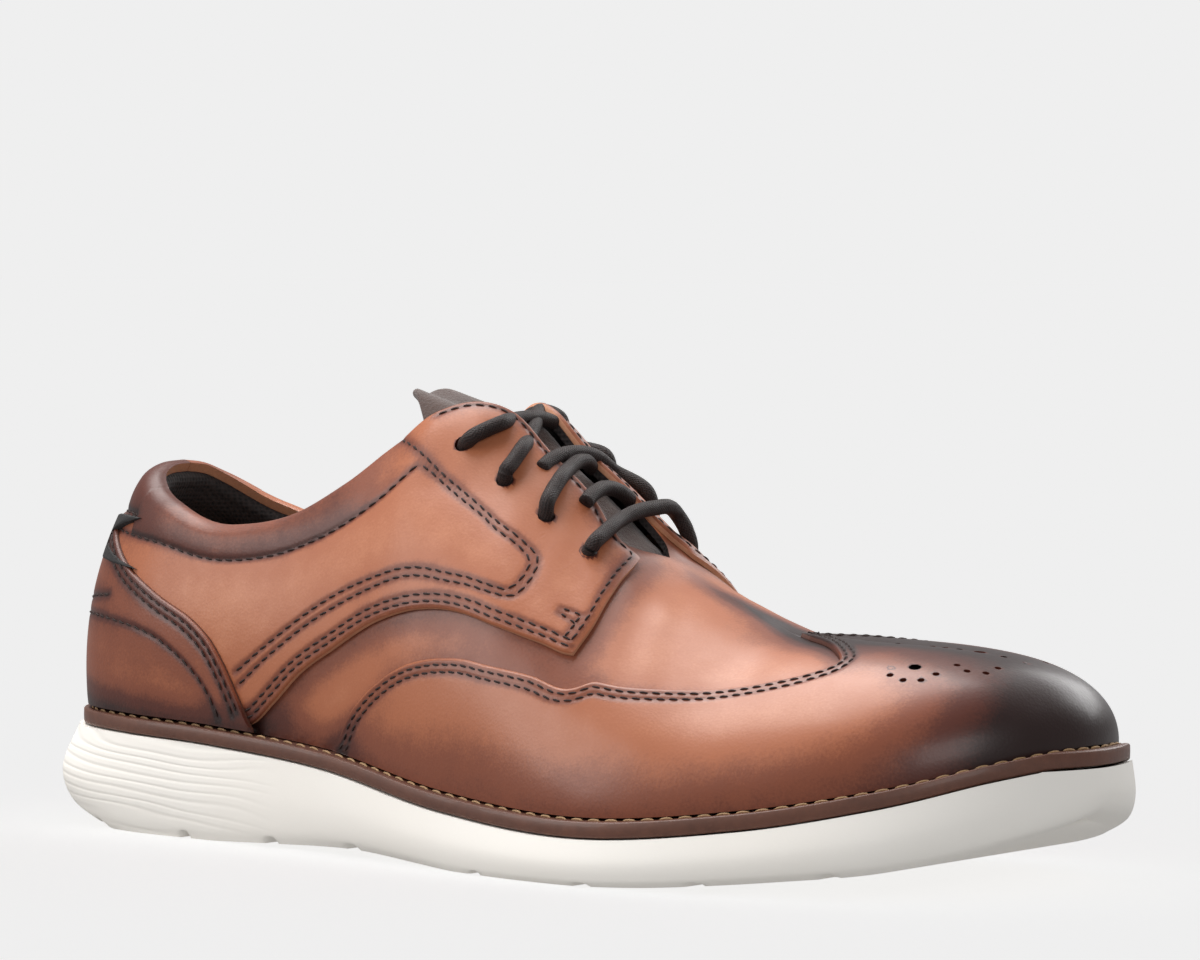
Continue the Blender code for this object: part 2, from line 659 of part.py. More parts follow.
def lace_bar(name, start, end):
    """A stretch of lace from one eyelet's mouth, over both facings' edges, to another's."""
    stand = QUARTER_GAP + PANEL_THICKNESS + LACE_GAP + LACE_DIAMETER / 2
    (u0, v0), (u1, v1) = eyelet_place(start, -1), eyelet_place(end, 1)
    column = (EYELETS[start][0] + EYELETS[end][0]) / 2
    ways = [(u0, v0)]
    ways += [(u0 + (column - u0) * 0.2, (v0 + LACE_EDGE) / 2), (u0 + (column - u0) * 0.4, LACE_EDGE)]
    far = 2 - column
    ways += [(u1 + (far - u1) * 0.4, LACE_EDGE), (u1 + (far - u1) * 0.2, (v1 + LACE_EDGE) / 2), (u1, v1)]
    stops = [on_upper(np.array([u]), np.array([v]), np.array([stand]))[0] for u, v in ways]
    names = ("way", "x", "y", "z")
    gaps = np.cumsum([0] + [np.linalg.norm(b - a) for a, b in zip(stops, stops[1:])])
    rows = [(gap, *stop) for gap, stop in zip(gaps, stops)]
    at = np.linspace(0, gaps[-1], LACE_STEPS)
    path = np.stack([table(names, rows, axis, at) for axis in names[1:]], -1)
    curve = bpy.data.curves.new(name, "CURVE")
    curve.dimensions = "3D"
    curve.bevel_depth = LACE_DIAMETER / 2
    curve.bevel_resolution = 1
    curve.use_fill_caps = True
    spline = curve.splines.new("POLY")
    spline.points.add(len(path) - 1)
    for point, where in zip(spline.points, path):
        point.co = (*where, 1)
    tube = bpy.data.objects.new(name, curve)
    bpy.context.scene.collection.objects.link(tube)
    bpy.context.view_layer.update()
    mesh = bpy.data.meshes.new_from_object(tube.evaluated_get(bpy.context.evaluated_depsgraph_get()))
    bpy.data.objects.remove(tube)
    return mesh


def make_laces():
    last = len(EYELETS) - 1
    pairs = [(last, last)]
    for index in range(last):
        pairs += [(index + 1, index), (index, index + 1)]
    first = new_object("laces", lace_bar("laces", *pairs[0]))
    others = bpy.data.collections.new("lace_crossings")
    bpy.context.scene.collection.children.link(others)
    for start, end in pairs[1:]:
        name = f"lace_crossing_{start}_{end}"
        bar = new_object(name, lace_bar(name, start, end))
        bpy.context.scene.collection.objects.unlink(bar)
        others.objects.link(bar)
    boolean(first, "UNION", others)


def make_side_tab():
    stand = QUARTER_GAP + PANEL_THICKNESS + COUNTER_GAP + COUNTER_THICKNESS + CLEARANCE

    def place(a, b, layer):
        v = TAB_GIRTHS[0] + (TAB_GIRTHS[1] - TAB_GIRTHS[0]) * b
        width = TAB_WIDTH / BALL_WIDTH
        u = TAB_COLUMN + (a - 0.5) * width
        return on_upper(u, v, stand + layer * TAB_THICKNESS)

    return new_object("side_tab", slab(3, 5, place))


for old in list(bpy.data.objects):
    bpy.data.objects.remove(old, do_unlink=True)

# The middle of the sole's outline is the middle of the shoe's frame.
ways = np.linspace(0, 2, 800)
reach = np.concatenate([sole_point(ways, level)[:, :2] for level in range(4)])
shoe = bpy.data.objects.new("shoe", None)
bpy.context.scene.collection.objects.link(shoe)
middle = (reach.min(0) + reach.max(0)) / 2
shoe.location = (-middle[0], -middle[1], 0)

make_outsole()
make_welt()
make_insole()
upper = make_upper()
make_wing_cap()
quarters = [make_quarter("quarter_outer", -1), make_quarter("quarter_inner", 1)]
make_heel_counter()
make_tongue()
holes = make_eyelet_cutter()
for pierced in (upper, *quarters):
    boolean(pierced, "DIFFERENCE", holes)
make_laces()
make_side_tab()
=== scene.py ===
import json
import math

import bmesh
import bpy
import numpy as np
from mathutils import Matrix, Vector
from mathutils.bvhtree import BVHTree
from mathutils.kdtree import KDTree

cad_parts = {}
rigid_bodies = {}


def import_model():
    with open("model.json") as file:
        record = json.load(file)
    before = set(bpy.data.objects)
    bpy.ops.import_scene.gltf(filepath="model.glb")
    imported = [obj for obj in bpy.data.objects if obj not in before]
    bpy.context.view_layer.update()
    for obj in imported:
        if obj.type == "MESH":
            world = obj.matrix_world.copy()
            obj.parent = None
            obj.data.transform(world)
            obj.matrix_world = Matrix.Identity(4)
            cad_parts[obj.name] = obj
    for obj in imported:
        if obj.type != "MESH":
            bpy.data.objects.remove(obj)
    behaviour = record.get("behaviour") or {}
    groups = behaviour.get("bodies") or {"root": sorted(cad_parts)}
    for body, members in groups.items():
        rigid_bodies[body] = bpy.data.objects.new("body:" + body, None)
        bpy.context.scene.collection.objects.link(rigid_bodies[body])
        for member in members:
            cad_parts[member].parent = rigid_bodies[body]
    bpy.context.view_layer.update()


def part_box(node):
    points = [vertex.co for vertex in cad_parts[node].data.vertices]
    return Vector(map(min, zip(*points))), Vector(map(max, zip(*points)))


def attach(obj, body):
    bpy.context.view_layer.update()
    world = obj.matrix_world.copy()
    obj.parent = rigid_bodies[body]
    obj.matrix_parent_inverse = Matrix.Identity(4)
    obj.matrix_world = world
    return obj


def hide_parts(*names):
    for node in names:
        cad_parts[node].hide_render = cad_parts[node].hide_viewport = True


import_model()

# The shoe's sizes in metres. Places run from the sole's heel end, and x = 0 there until shoeShift.
shoe = {
    "soleLength": 0.302, "ballWidth": 0.092, "backHeight": 0.092,
    "heelInset": 0.0125, "toeInset": 0.0050, "crownOffset": 0.0030, "clearance": 0.0003,
    "rimLift": 0.20, "throatEnd": 0.60, "wall": 0.0018, "collarPad": 0.0030,
    "weltThickness": 0.0040, "weltReach": 0.0045, "weltSeat": 0.0080, "soleFlare": 0.0070,
}

lastLength = shoe["soleLength"] - shoe["heelInset"] - shoe["toeInset"]

# Columns run from the middle of the heel back, 0, to the middle of the toe, 1, on each side.
# Widths are shares of ballWidth, heights of backHeight, and places along the shoe of soleLength.
tables = {
    "feather": (("column", "outer", "inner", "height"), [
        (0, 0, 0, 0.327), (0.05, 0.125, 0.125, 0.326), (0.1, 0.23, 0.23, 0.323), (0.2, 0.33, 0.33, 0.316),
        (0.3, 0.37, 0.365, 0.303), (0.4, 0.42, 0.345, 0.268), (0.5, 0.52, 0.37, 0.194),
        (0.6, 0.585, 0.44, 0.165), (0.7, 0.505, 0.48, 0.204), (0.8, 0.37, 0.455, 0.271),
        (0.9, 0.15, 0.33, 0.339), (0.95, 0.015, 0.215, 0.356), (1, -0.095, 0.095, 0.363),
    ]),
    "top": (("column", "along", "outer", "inner", "outerHeight", "innerHeight"), [
        (0, 0.097, 0, 0, 1.01, 1.01), (0.05, 0.1, 0.082, 0.078, 1.005, 1),
        (0.1, 0.109, 0.158, 0.145, 0.985, 0.97), (0.2, 0.151, 0.255, 0.24, 0.91, 0.885),
        (0.3, 0.228, 0.293, 0.282, 0.85, 0.825), (0.36, 0.295, 0.283, 0.27, 0.89, 0.865),
        (0.41, 0.35, 0.25, 0.245, 0.99, 0.97), (0.44, 0.385, 0.217, 0.215, 1.065, 1.05),
        (0.47, 0.418, 0.168, 0.168, 1.16, 1.15), (0.49, 0.445, 0.12, 0.12, 1.185, 1.18),
        (0.51, 0.47, 0.076, 0.09, 1.155, 1.155), (0.53, 0.5, 0.068, 0.085, 1.065, 1.065),
        (0.56, 0.545, 0.074, 0.09, 0.95, 0.95), (0.585, 0.585, 0.076, 0.092, 0.83, 0.83),
        (0.6, 0.603, -0.033, 0.033, 0.795, 0.795), (0.65, 0.632, -0.033, 0.033, 0.74, 0.74),
        (0.75, 0.673, -0.033, 0.033, 0.685, 0.685), (1, 0.731, -0.033, 0.033, 0.6, 0.6),
    ]),
    "crown": (("along", "height"), [
        (0.47, 1.155), (0.5, 1.065), (0.545, 0.96), (0.575, 0.84), (0.603, 0.795), (0.632, 0.74),
        (0.665, 0.695), (0.695, 0.65), (0.73, 0.604), (0.78, 0.588), (0.86, 0.582), (0.93, 0.58),
        (1, 0.575),
    ]),
    "roundness": (("column", "endAngle", "sidePower", "topPower", "bulge"), [
        (0, 30, 2, 2, 0.014), (0.1, 30, 2, 2, 0.018), (0.2, 32, 2, 2, 0.024), (0.3, 36, 2, 2, 0.018),
        (0.4, 46, 2, 2, 0.02), (0.47, 62, 2, 2, 0.02), (0.53, 72, 2, 1.9, 0.02), (0.6, 90, 2, 1.8, 0.015),
        (0.65, 90, 2, 1.8, 0.012), (0.7, 90, 2.2, 1.85, 0.01), (0.8, 90, 2.9, 2.1, 0.008),
        (0.9, 90, 4.2, 2.2, 0.005), (1, 90, 5.2, 2.2, 0),
    ]),
    "sidewall": (("column", "top", "middle", "bottom", "ground"), [
        (0, 0.8, 1.55, -0.6, 0.06), (0.06, 0.8, 1.52, -0.4, 0.048), (0.12, 0.78, 1.35, 0.15, 0.022),
        (0.18, 0.74, 1.12, 0.5, 0), (0.3, 0.68, 0.85, 0.55, 0), (0.36, 0.68, 0.8, 0.45, 0.01),
        (0.43, 0.68, 0.8, 0.3, 0.018), (0.48, 0.68, 0.85, 0.35, 0.006), (0.51, 0.7, 0.9, 0.55, 0),
        (0.6, 0.72, 0.95, 0.6, 0), (0.64, 0.72, 0.95, 0.58, 0.007), (0.69, 0.72, 0.95, 0.52, 0.024),
        (0.73, 0.72, 0.94, 0.46, 0.04), (0.79, 0.72, 0.92, 0.36, 0.064), (0.85, 0.72, 0.88, 0.18, 0.102),
        (0.9, 0.72, 0.85, 0, 0.135), (1, 0.72, 0.8, -0.5, 0.185),
    ]),
    "capEdge": (("column", "girth"), [
        (0.405, 0.02), (0.409, 0.035), (0.416, 0.11), (0.432, 0.204), (0.448, 0.257), (0.467, 0.29),
        (0.485, 0.303), (0.503, 0.31), (0.53, 0.326), (0.562, 0.35), (0.593, 0.364), (0.624, 0.372),
        (0.656, 0.386), (0.693, 0.405), (0.735, 0.42), (0.769, 0.438), (0.8, 0.474), (0.815, 0.52),
        (0.826, 0.59), (0.845, 0.69), (0.878, 0.82), (0.925, 0.93), (1, 1),
    ]),
    "quarterLow": (("column", "girth"), [
        (0, 0), (0.318, 0), (0.336, 0.06), (0.352, 0.152), (0.374, 0.273), (0.406, 0.366), (0.437, 0.425),
        (0.465, 0.431), (0.49, 0.425), (0.512, 0.42), (0.535, 0.43), (0.558, 0.444), (0.585, 0.476),
    ]),
    "quarterFront": (("girth", "column"), [
        (0.46, 0.581), (0.573, 0.59), (0.649, 0.593), (0.775, 0.597), (0.882, 0.594), (1, 0.588),
    ]),
    "counterTop": (("way", "column", "girth"), [
        (0, 0, 0.8), (0.22, 0.08, 0.76), (0.36, 0.14, 0.7), (0.48, 0.19, 0.64), (0.6, 0.237, 0.58),
        (0.7, 0.274, 0.52), (0.78, 0.296, 0.435), (0.86, 0.31, 0.33), (0.94, 0.322, 0.2),
        (1, 0.336, 0.02),
    ]),
}
scales = {"along": "soleLength", "outer": "ballWidth", "inner": "ballWidth", "bulge": "ballWidth",
          "height": "backHeight", "outerHeight": "backHeight", "innerHeight": "backHeight",
          "ground": "backHeight"}
eyelets = [(0.488, 0.864), (0.517, 0.796), (0.544, 0.790), (0.572, 0.810)]


def readTable(name, column, at):
    # a table's smooth value, in metres where its column has a scale
    names, rows = tables[name]
    value = smoothCurve([row[0] for row in rows], [row[names.index(column)] for row in rows], at)
    return value * shoe[scales[column]] if column in scales else value


def bySide(name, outer, inner, column, side):
    return np.where(side < 0, readTable(name, outer, column), readTable(name, inner, column))


def smoothCurve(xs, ys, at):
    xs, ys = np.array(xs, float), np.array(ys, float)
    steps = np.diff(xs)
    slopes = np.diff(ys) / steps
    tangents = np.empty(len(xs))
    tangents[0], tangents[-1] = slopes[0], slopes[-1]
    tangents[1:-1] = (slopes[:-1] * steps[1:] + slopes[1:] * steps[:-1]) / (steps[:-1] + steps[1:])
    at = np.clip(np.asarray(at, float), xs[0], xs[-1])
    i = np.clip(np.searchsorted(xs, at, side="right") - 1, 0, len(steps) - 1)
    t = (at - xs[i]) / steps[i]
    start = (1 + 2 * t) * (1 - t) ** 2 * ys[i] + t * (1 - t) ** 2 * steps[i] * tangents[i]
    end = t * t * (3 - 2 * t) * ys[i + 1] - t * t * (1 - t) * steps[i] * tangents[i + 1]
    return start + end


def ease(low, high, value):
    t = np.clip((value - low) / (high - low), 0, 1)
    return t * t * (3 - 2 * t)


def unit(vectors):
    return vectors / np.maximum(np.linalg.norm(vectors, axis=-1, keepdims=True), 1e-12)


def columnOf(u):
    # u runs round the shoe: 0 at the heel, by the outer side to 1 at the toe, and back to 2
    u = np.mod(u, 2)
    return np.where(u <= 1, u, 2 - u), np.where(u <= 1, -1.0, 1.0)


def featherLine(u):
    column, side = columnOf(u)
    along = shoe["heelInset"] + lastLength * (1 - np.cos(np.pi * column)) / 2
    across = side * bySide("feather", "outer", "inner", column, side)
    return np.stack([along, across, readTable("feather", "height", column)], -1)


def outward(u):
    step = 0.004
    run = featherLine(u + step) - featherLine(u - step)
    return unit(np.stack([run[..., 1], -run[..., 0], 0 * run[..., 0]], -1))


def deckPoint(u, grow, lift):
    # the outline on the curved deck under the upper, level across the shoe
    points = featherLine(u) + outward(u) * np.asarray(grow)[..., None]
    way = np.clip((points[..., 0] - shoe["heelInset"]) / lastLength, 0, 1)
    points[..., 2] = readTable("feather", "height", np.arccos(1 - 2 * way) / np.pi) + lift
    return points


def girthPoint(u, share):
    # a point of the last, with the ripples between the waist's columns evened out
    column, _ = columnOf(u)
    weight = ease(0.42, 0.48, column) * (1 - ease(0.60, 0.68, column)) * ease(0.03, 0.25, share)
    weight = (weight * (1 - ease(0.75, 0.95, share)))[:, None]
    points = plainPoint(u, share)
    around = [plainPoint(u + step, share) for step in (-0.05, -0.025, 0.025, 0.05)]
    return points * (1 - weight) + (sum(around) + points) / 5 * weight


def plainPoint(u, share):
    # a point of the last: share runs up one column from the feather line to the top
    column, side = columnOf(u)
    end = np.radians(readTable("roundness", "endAngle", column))
    sidePower = readTable("roundness", "sidePower", column)
    topPower = readTable("roundness", "topPower", column)
    angle = (1 - (1 - share) ** (sidePower / 2)) * end
    inward = 1 - np.clip(np.cos(angle), 0, 1) ** (2 / sidePower)
    inward = inward / (1 - np.clip(np.cos(end), 0, 1) ** (2 / sidePower))
    rise = (np.sin(angle) / np.sin(end)) ** (2 / topPower)
    low = featherLine(u)
    low[:, 2] += shoe["clearance"]
    across = side * bySide("top", "outer", "inner", column, side)
    onRidge = column >= shoe["throatEnd"] - 1e-6
    high = np.stack([
        readTable("top", "along", column),
        np.where(onRidge, shoe["crownOffset"], across),
        bySide("top", "outerHeight", "innerHeight", column, side),
    ], -1)
    points = low + (high - low) * np.stack([inward, inward, rise], -1)
    crown, crownTop = (readTable("crown", "height", spots[:, 0] / shoe["soleLength"])
                       for spots in (points, high))
    target = high[:, 2] + ease(0.50, shoe["throatEnd"], column) * (crown - crownTop)
    points[:, 2] = low[:, 2] + (target - low[:, 2]) * rise
    bulge = readTable("roundness", "bulge", column) * np.sin(np.pi * np.clip(rise, 0, 1))
    return points + outward(u) * bulge[:, None]


latticeSize = {"columns": 960, "rows": 128, "samples": 96}


def measureLast():
    # even steps up each column, and the surface's outward direction there
    size = latticeSize
    u = np.linspace(0, 2, size["columns"] + 1)
    share = np.linspace(0, 1, size["samples"] + 1)
    uGrid, shareGrid = np.meshgrid(u, share, indexing="ij")
    points = girthPoint(uGrid.ravel(), shareGrid.ravel()).reshape(uGrid.shape + (3,))
    lengths = np.linalg.norm(np.diff(points, axis=1), axis=-1)
    run = np.concatenate([np.zeros((len(u), 1)), np.cumsum(lengths, 1)], 1)
    v = np.linspace(0, 1, size["rows"] + 1)
    shares = np.array([np.interp(v, way / way[-1], share) for way in run])
    uGrid = np.repeat(u[:, None], len(v), 1)
    points = girthPoint(uGrid.ravel(), shares.ravel()).reshape(uGrid.shape + (3,))
    across = np.roll(points[:-1], -3, 0) - np.roll(points[:-1], 3, 0)
    across = np.concatenate([across, across[:1]], 0)
    row = np.arange(len(v))
    up = points[:, np.minimum(row + 2, len(v) - 1)] - points[:, np.maximum(row - 2, 0)]
    across[:, -2:] = across[:, -3:-2]
    normals = unit(np.cross(across, up))
    # the two sides meet in one direction along the closed ridge, and lean level at the feather line
    column, _ = columnOf(u)
    share = np.clip((v[None, :] - 0.94) / 0.06, 0, 1) * np.clip((column[:, None] - 0.585) / 0.015, 0, 1)
    normals = normals + normals[::-1] * share[..., None]
    normals[..., 2] *= ease(0, 0.08, v)[None, :]
    return {"shares": shares, "normals": unit(normals), "points": points, "girth": run[:, -1]}


lattice = measureLast()


def readLattice(name, u, v):
    values = lattice[name]
    x = np.mod(u, 2) / 2 * latticeSize["columns"]
    i = np.clip(x.astype(int), 0, latticeSize["columns"] - 1)
    s = x - i
    if values.ndim == 1:
        return values[i] * (1 - s) + values[i + 1] * s
    y = np.clip(v, 0, 1) * latticeSize["rows"]
    j = np.clip(y.astype(int), 0, latticeSize["rows"] - 1)
    t = y - j
    if values.ndim == 3:
        s, t = s[..., None], t[..., None]
    low = values[i, j] * (1 - s) + values[i + 1, j] * s
    high = values[i, j + 1] * (1 - s) + values[i + 1, j + 1] * s
    return low * (1 - t) + high * t


def lastPoint(u, v):
    u, v = np.broadcast_arrays(np.asarray(u, float), np.asarray(v, float))
    return girthPoint(u.ravel(), readLattice("shares", u.ravel(), v.ravel())).reshape(u.shape + (3,))


def lastNormal(u, v):
    u, v = np.broadcast_arrays(np.asarray(u, float), np.asarray(v, float))
    return unit(readLattice("normals", u, v))


def onLast(u, v, out):
    out = np.asarray(out, float)
    points = lastPoint(u, v) + lastNormal(u, v) * out[..., None]
    points[..., 2] += shoe["rimLift"] * np.maximum(out, 0) * (1 - ease(0, 0.05, v))
    return points


def soleSide(u, level):
    # the sole's side: 0 is its ground edge, 1 the lower side, 2 the middle and 3 the top edge
    column, _ = columnOf(u)
    level = np.broadcast_to(np.asarray(level, float), column.shape)
    ground = np.maximum(readTable("sidewall", "ground", column), 0)
    top, middle, bottom = (readTable("sidewall", name, column) for name in ("top", "middle", "bottom"))
    grows = np.stack([bottom, bottom + (middle - bottom) * 0.75, middle, top])
    rises = np.repeat(np.array([[0], [0.16], [0.50], [1]]), len(u), 1)
    i = np.clip(level.astype(int), 0, 2)
    t = level - i
    spots = np.arange(len(u))
    mixed = []
    for values in (grows, rises):
        rows = np.maximum(i - 1, 0), i, i + 1, np.minimum(i + 2, 3)
        p0, p1, p2, p3 = (values[row, spots] for row in rows)
        curve = 2 * p1 + (p2 - p0) * t + (2 * p0 - 5 * p1 + 4 * p2 - p3) * t ** 2
        mixed.append(0.5 * (curve + (3 * p1 - p0 - 3 * p2 + p3) * t ** 3))
    grow, rise = mixed
    points = deckPoint(u, shoe["soleFlare"] * grow, -shoe["weltThickness"] - shoe["clearance"])
    points[:, 2] = ground + (points[:, 2] - ground) * rise
    return points


def findShift():
    # the toe's end and the middle line sit on the CAD outsole's
    around = np.linspace(0, 2, 800)
    reach = np.concatenate([soleSide(around, level)[:, :2] for level in range(4)])
    low, high = np.array(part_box("outsole"))
    aside = (low[1] + high[1] - reach[:, 1].min() - reach[:, 1].max()) / 2
    return np.array([high[0] - reach[:, 0].max(), aside, 0])


shoeShift = findShift()
print("last ready, shift", np.round(shoeShift, 4))

# The camera, fitted to the photograph; x and y of its centre are pixels of a 1200 by 960 picture
photoView = {
    "azimuth": 36.88, "elevation": 4.38, "roll": 0.28, "distance": 1.3, "pixelsPerMetre": 4076,
    "centre": (565.9, 668.3), "target": (0.153, 0.0, 0.045), "width": 1200, "height": 960, "sensor": 36,
}
focal = photoView["pixelsPerMetre"] * photoView["distance"]


def cameraAxes():
    a, e, r = (math.radians(photoView[key]) for key in ("azimuth", "elevation", "roll"))
    look = np.array([-math.sin(a) * math.cos(e), math.cos(a) * math.cos(e), -math.sin(e)])
    right = np.array([math.cos(a), math.sin(a), 0.0])
    up = np.cross(right, look)
    return math.cos(r) * right + math.sin(r) * up, math.cos(r) * up - math.sin(r) * right, look


def makeCamera():
    right, up, look = cameraAxes()
    lens = bpy.data.cameras.new("camera")
    lens.sensor_width = photoView["sensor"]
    lens.lens = focal * photoView["sensor"] / photoView["width"]
    x, y = photoView["centre"]
    lens.shift_x = (photoView["width"] / 2 - x) / photoView["width"]
    lens.shift_y = (y - photoView["height"] / 2) / photoView["width"]
    lens.clip_end = 100
    camera = bpy.data.objects.new("camera", lens)
    bpy.context.scene.collection.objects.link(camera)
    place = np.array(photoView["target"]) + shoeShift - look * photoView["distance"]
    matrix = np.eye(4)
    matrix[:3] = np.stack([right, up, -look, place], 1)
    camera.matrix_world = Matrix(matrix.tolist())
    bpy.context.scene.camera = camera


def inPhoto(points):
    right, up, look = cameraAxes()
    away = points - np.array(photoView["target"])
    depth = away @ look + photoView["distance"]
    x, y = photoView["centre"]
    return np.stack([x + focal * (away @ right) / depth, y - focal * (away @ up) / depth], -1)


def fromPhoto(pixels, stand):
    # the places on the outer side, as (u, v), that show at pixels of the photograph
    half = latticeSize["columns"] // 2
    seen = inPhoto(lattice["points"][:half + 1])
    stepU, stepV = 0.002, -0.004
    found = []
    for pixel in np.array(pixels, float):
        i, j = np.unravel_index(np.argmin(((seen - pixel) ** 2).sum(-1)), seen.shape[:2])
        u, v = i / half, j / latticeSize["rows"]
        for _ in range(5):
            spots = inPhoto(onLast(np.array([u, u + stepU, u]), np.array([v, v, v + stepV]), stand))
            slopes = np.stack([(spots[1] - spots[0]) / stepU, (spots[2] - spots[0]) / stepV], 1)
            step = np.linalg.lstsq(slopes, pixel - spots[0], rcond=1e-3)[0]
            u = float(np.clip(u + np.clip(step[0], -0.02, 0.02), 0.001, 0.999))
            v = float(np.clip(v + np.clip(step[1], -0.04, 0.04), 0.0, 1.0))
        found.append((u, v))
    return np.array(found)


def fromPixel(pixel, across):
    # the place seen at a pixel, at a distance across the shoe from the last's line
    right, up, look = cameraAxes()
    x, y = photoView["centre"]
    way = look + right * (pixel[0] - x) / focal - up * (pixel[1] - y) / focal
    start = np.array(photoView["target"]) - look * photoView["distance"]
    return start + way * (across - start[1]) / way[1]


def sidestep(points, normals, distance):
    # a line of points moved to its left on the surface
    along = unit(np.gradient(points, axis=0))
    return points + unit(np.cross(normals, along)) * distance


def runAlong(points):
    # how far along a line of points each of them is
    return np.concatenate([[0], np.cumsum(np.linalg.norm(np.diff(points, axis=0), axis=1))])


def smoothRows(run, rows, at):
    rows = np.array(rows, float)
    return np.stack([smoothCurve(run, rows[:, k], at) for k in range(rows.shape[1])], -1)


def threadLine(line, steps=200):
    # even points on a smooth line through a few (u, v) places
    line = np.array(line, float)
    run = runAlong(lastPoint(line[:, 0], line[:, 1]))
    return smoothRows(run, line, np.linspace(0, run[-1], steps))


def otherSide(line):
    return np.stack([2 - line[:, 0], line[:, 1]], 1)


def toMesh(bm, name="sheet", sliver=None):
    # welds close points where slivers are to go, turns the faces outwards and makes the mesh
    if sliver:
        bmesh.ops.remove_doubles(bm, verts=bm.verts, dist=weldDistance)
        bmesh.ops.dissolve_degenerate(bm, edges=bm.edges, dist=sliver)
    bmesh.ops.recalc_face_normals(bm, faces=bm.faces)
    mesh = bpy.data.meshes.new(name)
    bm.to_mesh(mesh)
    bm.free()
    return mesh


# Sheets and tubes
weldDistance, fineWeld = 0.00001, 0.000002
slivers = {"grid": 0.0000025, "sheet": 0.000002}


def gridMesh(grids):
    # each grid is (columns, rows, place), where place turns shares (a, b) into points
    bm = bmesh.new()
    for columns, rows, place in grids:
        made = bmesh.ops.create_grid(bm, x_segments=columns, y_segments=rows, size=0.5)["verts"]
        shares = np.array([vert.co for vert in made]) + 0.5
        for vert, point in zip(made, place(shares[:, 0], shares[:, 1]) + shoeShift):
            vert.co = point
    return toMesh(bm, sliver=slivers["grid"])


def layeredSheet(size, place, sewn=None):
    # two layers with a rim: 0 is the face outside, 1 the face inside and 2 the rim's material
    bm = bmesh.new()
    bmesh.ops.create_grid(bm, x_segments=size["columns"], y_segments=size["rows"], size=0.5)
    bmesh.ops.translate(bm, vec=(0.5, 0.5, 0), verts=bm.verts)
    copied = bmesh.ops.extrude_face_region(bm, geom=bm.faces[:])
    lifted = [item for item in copied["geom"] if isinstance(item, bmesh.types.BMVert)]
    bmesh.ops.translate(bm, vec=(0, 0, 1), verts=lifted)
    for face in bm.faces:
        levels = {round(vert.co.z) for vert in face.verts}
        face.material_index = 2 if len(levels) == 2 else (0 if 1 in levels else 1)
    if sewn:
        rim = [face for face in bm.faces if face.material_index == 2]
        joined = [face for face in rim if all(sewn(vert.co.x, vert.co.y) for vert in face.verts)]
        bmesh.ops.delete(bm, geom=joined, context="FACES_ONLY")
    shares = np.array([vert.co for vert in bm.verts])
    points, u, v = place(shares[:, 0], shares[:, 1], shares[:, 2])
    around, girth = (bm.verts.layers.float.new(name) for name in ("around", "girth"))
    for vert, point, uShare, vShare in zip(bm.verts, points + shoeShift, u, v):
        vert.co, vert[around], vert[girth] = point, uShare, vShare
    return toMesh(bm, sliver=slivers["sheet"])


def addPiece(name, mesh, finishes, replaced=()):
    piece = bpy.data.objects.new(name, mesh)
    bpy.context.scene.collection.objects.link(piece)
    for kind in finishes:
        mesh.materials.append(finish[kind])
    mesh.shade_smooth()
    mesh.set_sharp_from_angle(angle=math.radians(50))
    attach(piece, "root")
    if replaced:
        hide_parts(*replaced)
    print(name, len(mesh.polygons))


def readAll(items, key, width):
    values = np.empty(len(items) * width)
    items.foreach_get(key, values)
    return values.reshape(-1, width)


def meshPoints(mesh):
    return readAll(mesh.vertices, "co", 3) - shoeShift


def meshValues(mesh, name):
    return readAll(mesh.attributes[name].data, "value", 1)[:, 0]


def paint(mesh, name, values):
    layer = mesh.attributes.new(name, "FLOAT", "POINT")
    layer.data.foreach_set("value", np.asarray(values, float))


def awayFrom(points, lines):
    # each point's distance from the nearest of some lines of points
    spots = np.concatenate(lines)
    tree = KDTree(len(spots))
    for index, spot in enumerate(spots):
        tree.insert(spot, index)
    tree.balance()
    return np.array([tree.find(point)[2] for point in points])


def linePoints(line, stand):
    return onLast(line[:, 0], line[:, 1], stand)


# Seams read from the photograph, as pixels on the outer side
photoSeams = {
    "collar": [(124, 503), (138, 515), (153, 533), (177, 549), (201, 557), (230, 560), (262, 557), (298, 547),
               (334, 530), (371, 505), (418, 464)],
    "facingOuter": [(401, 439), (445, 476), (488, 513), (521, 539), (538, 559), (532, 576), (514, 595),
                    (488, 591), (445, 580), (417, 575), (385, 581), (340, 603), (300, 629), (264, 659),
                    (238, 685)],
    "facingInner": [(421, 465), (456, 494), (493, 526), (519, 546), (530, 561), (523, 576), (510, 588),
                    (488, 584), (445, 572), (417, 567), (380, 574), (334, 595), (298, 619), (262, 648),
                    (235, 672)],
    "counterLow": [(109, 594), (128, 616), (160, 641), (189, 668), (206, 692), (218, 719)],
    "tackUpper": [(561, 608), (572, 611), (583, 615)],
    "tackLower": [(559, 612), (568, 618), (577, 624)],
    "tackFront": [(580, 616), (572, 627), (564, 637)],
}


def panelLines():
    # the free edges of the panels on the outer side, as lines of (u, v)
    lines = {}
    for name, start, end, count in (("capEdge", 0.405, 1.0, 260), ("quarterLow", 0.328, 0.583, 200)):
        column = np.linspace(start, end, count)
        lines[name] = np.stack([column, readTable(name, "girth", column)], 1)
    front, way = np.linspace(0.476, 0.985, 120), np.linspace(0.0, 1.0, 200)
    lines["quarterFront"] = np.stack([readTable("quarterFront", "column", front), front], 1)
    lines["counterTop"] = np.stack([readTable("counterTop", name, way) for name in ("column", "girth")], 1)
    return lines


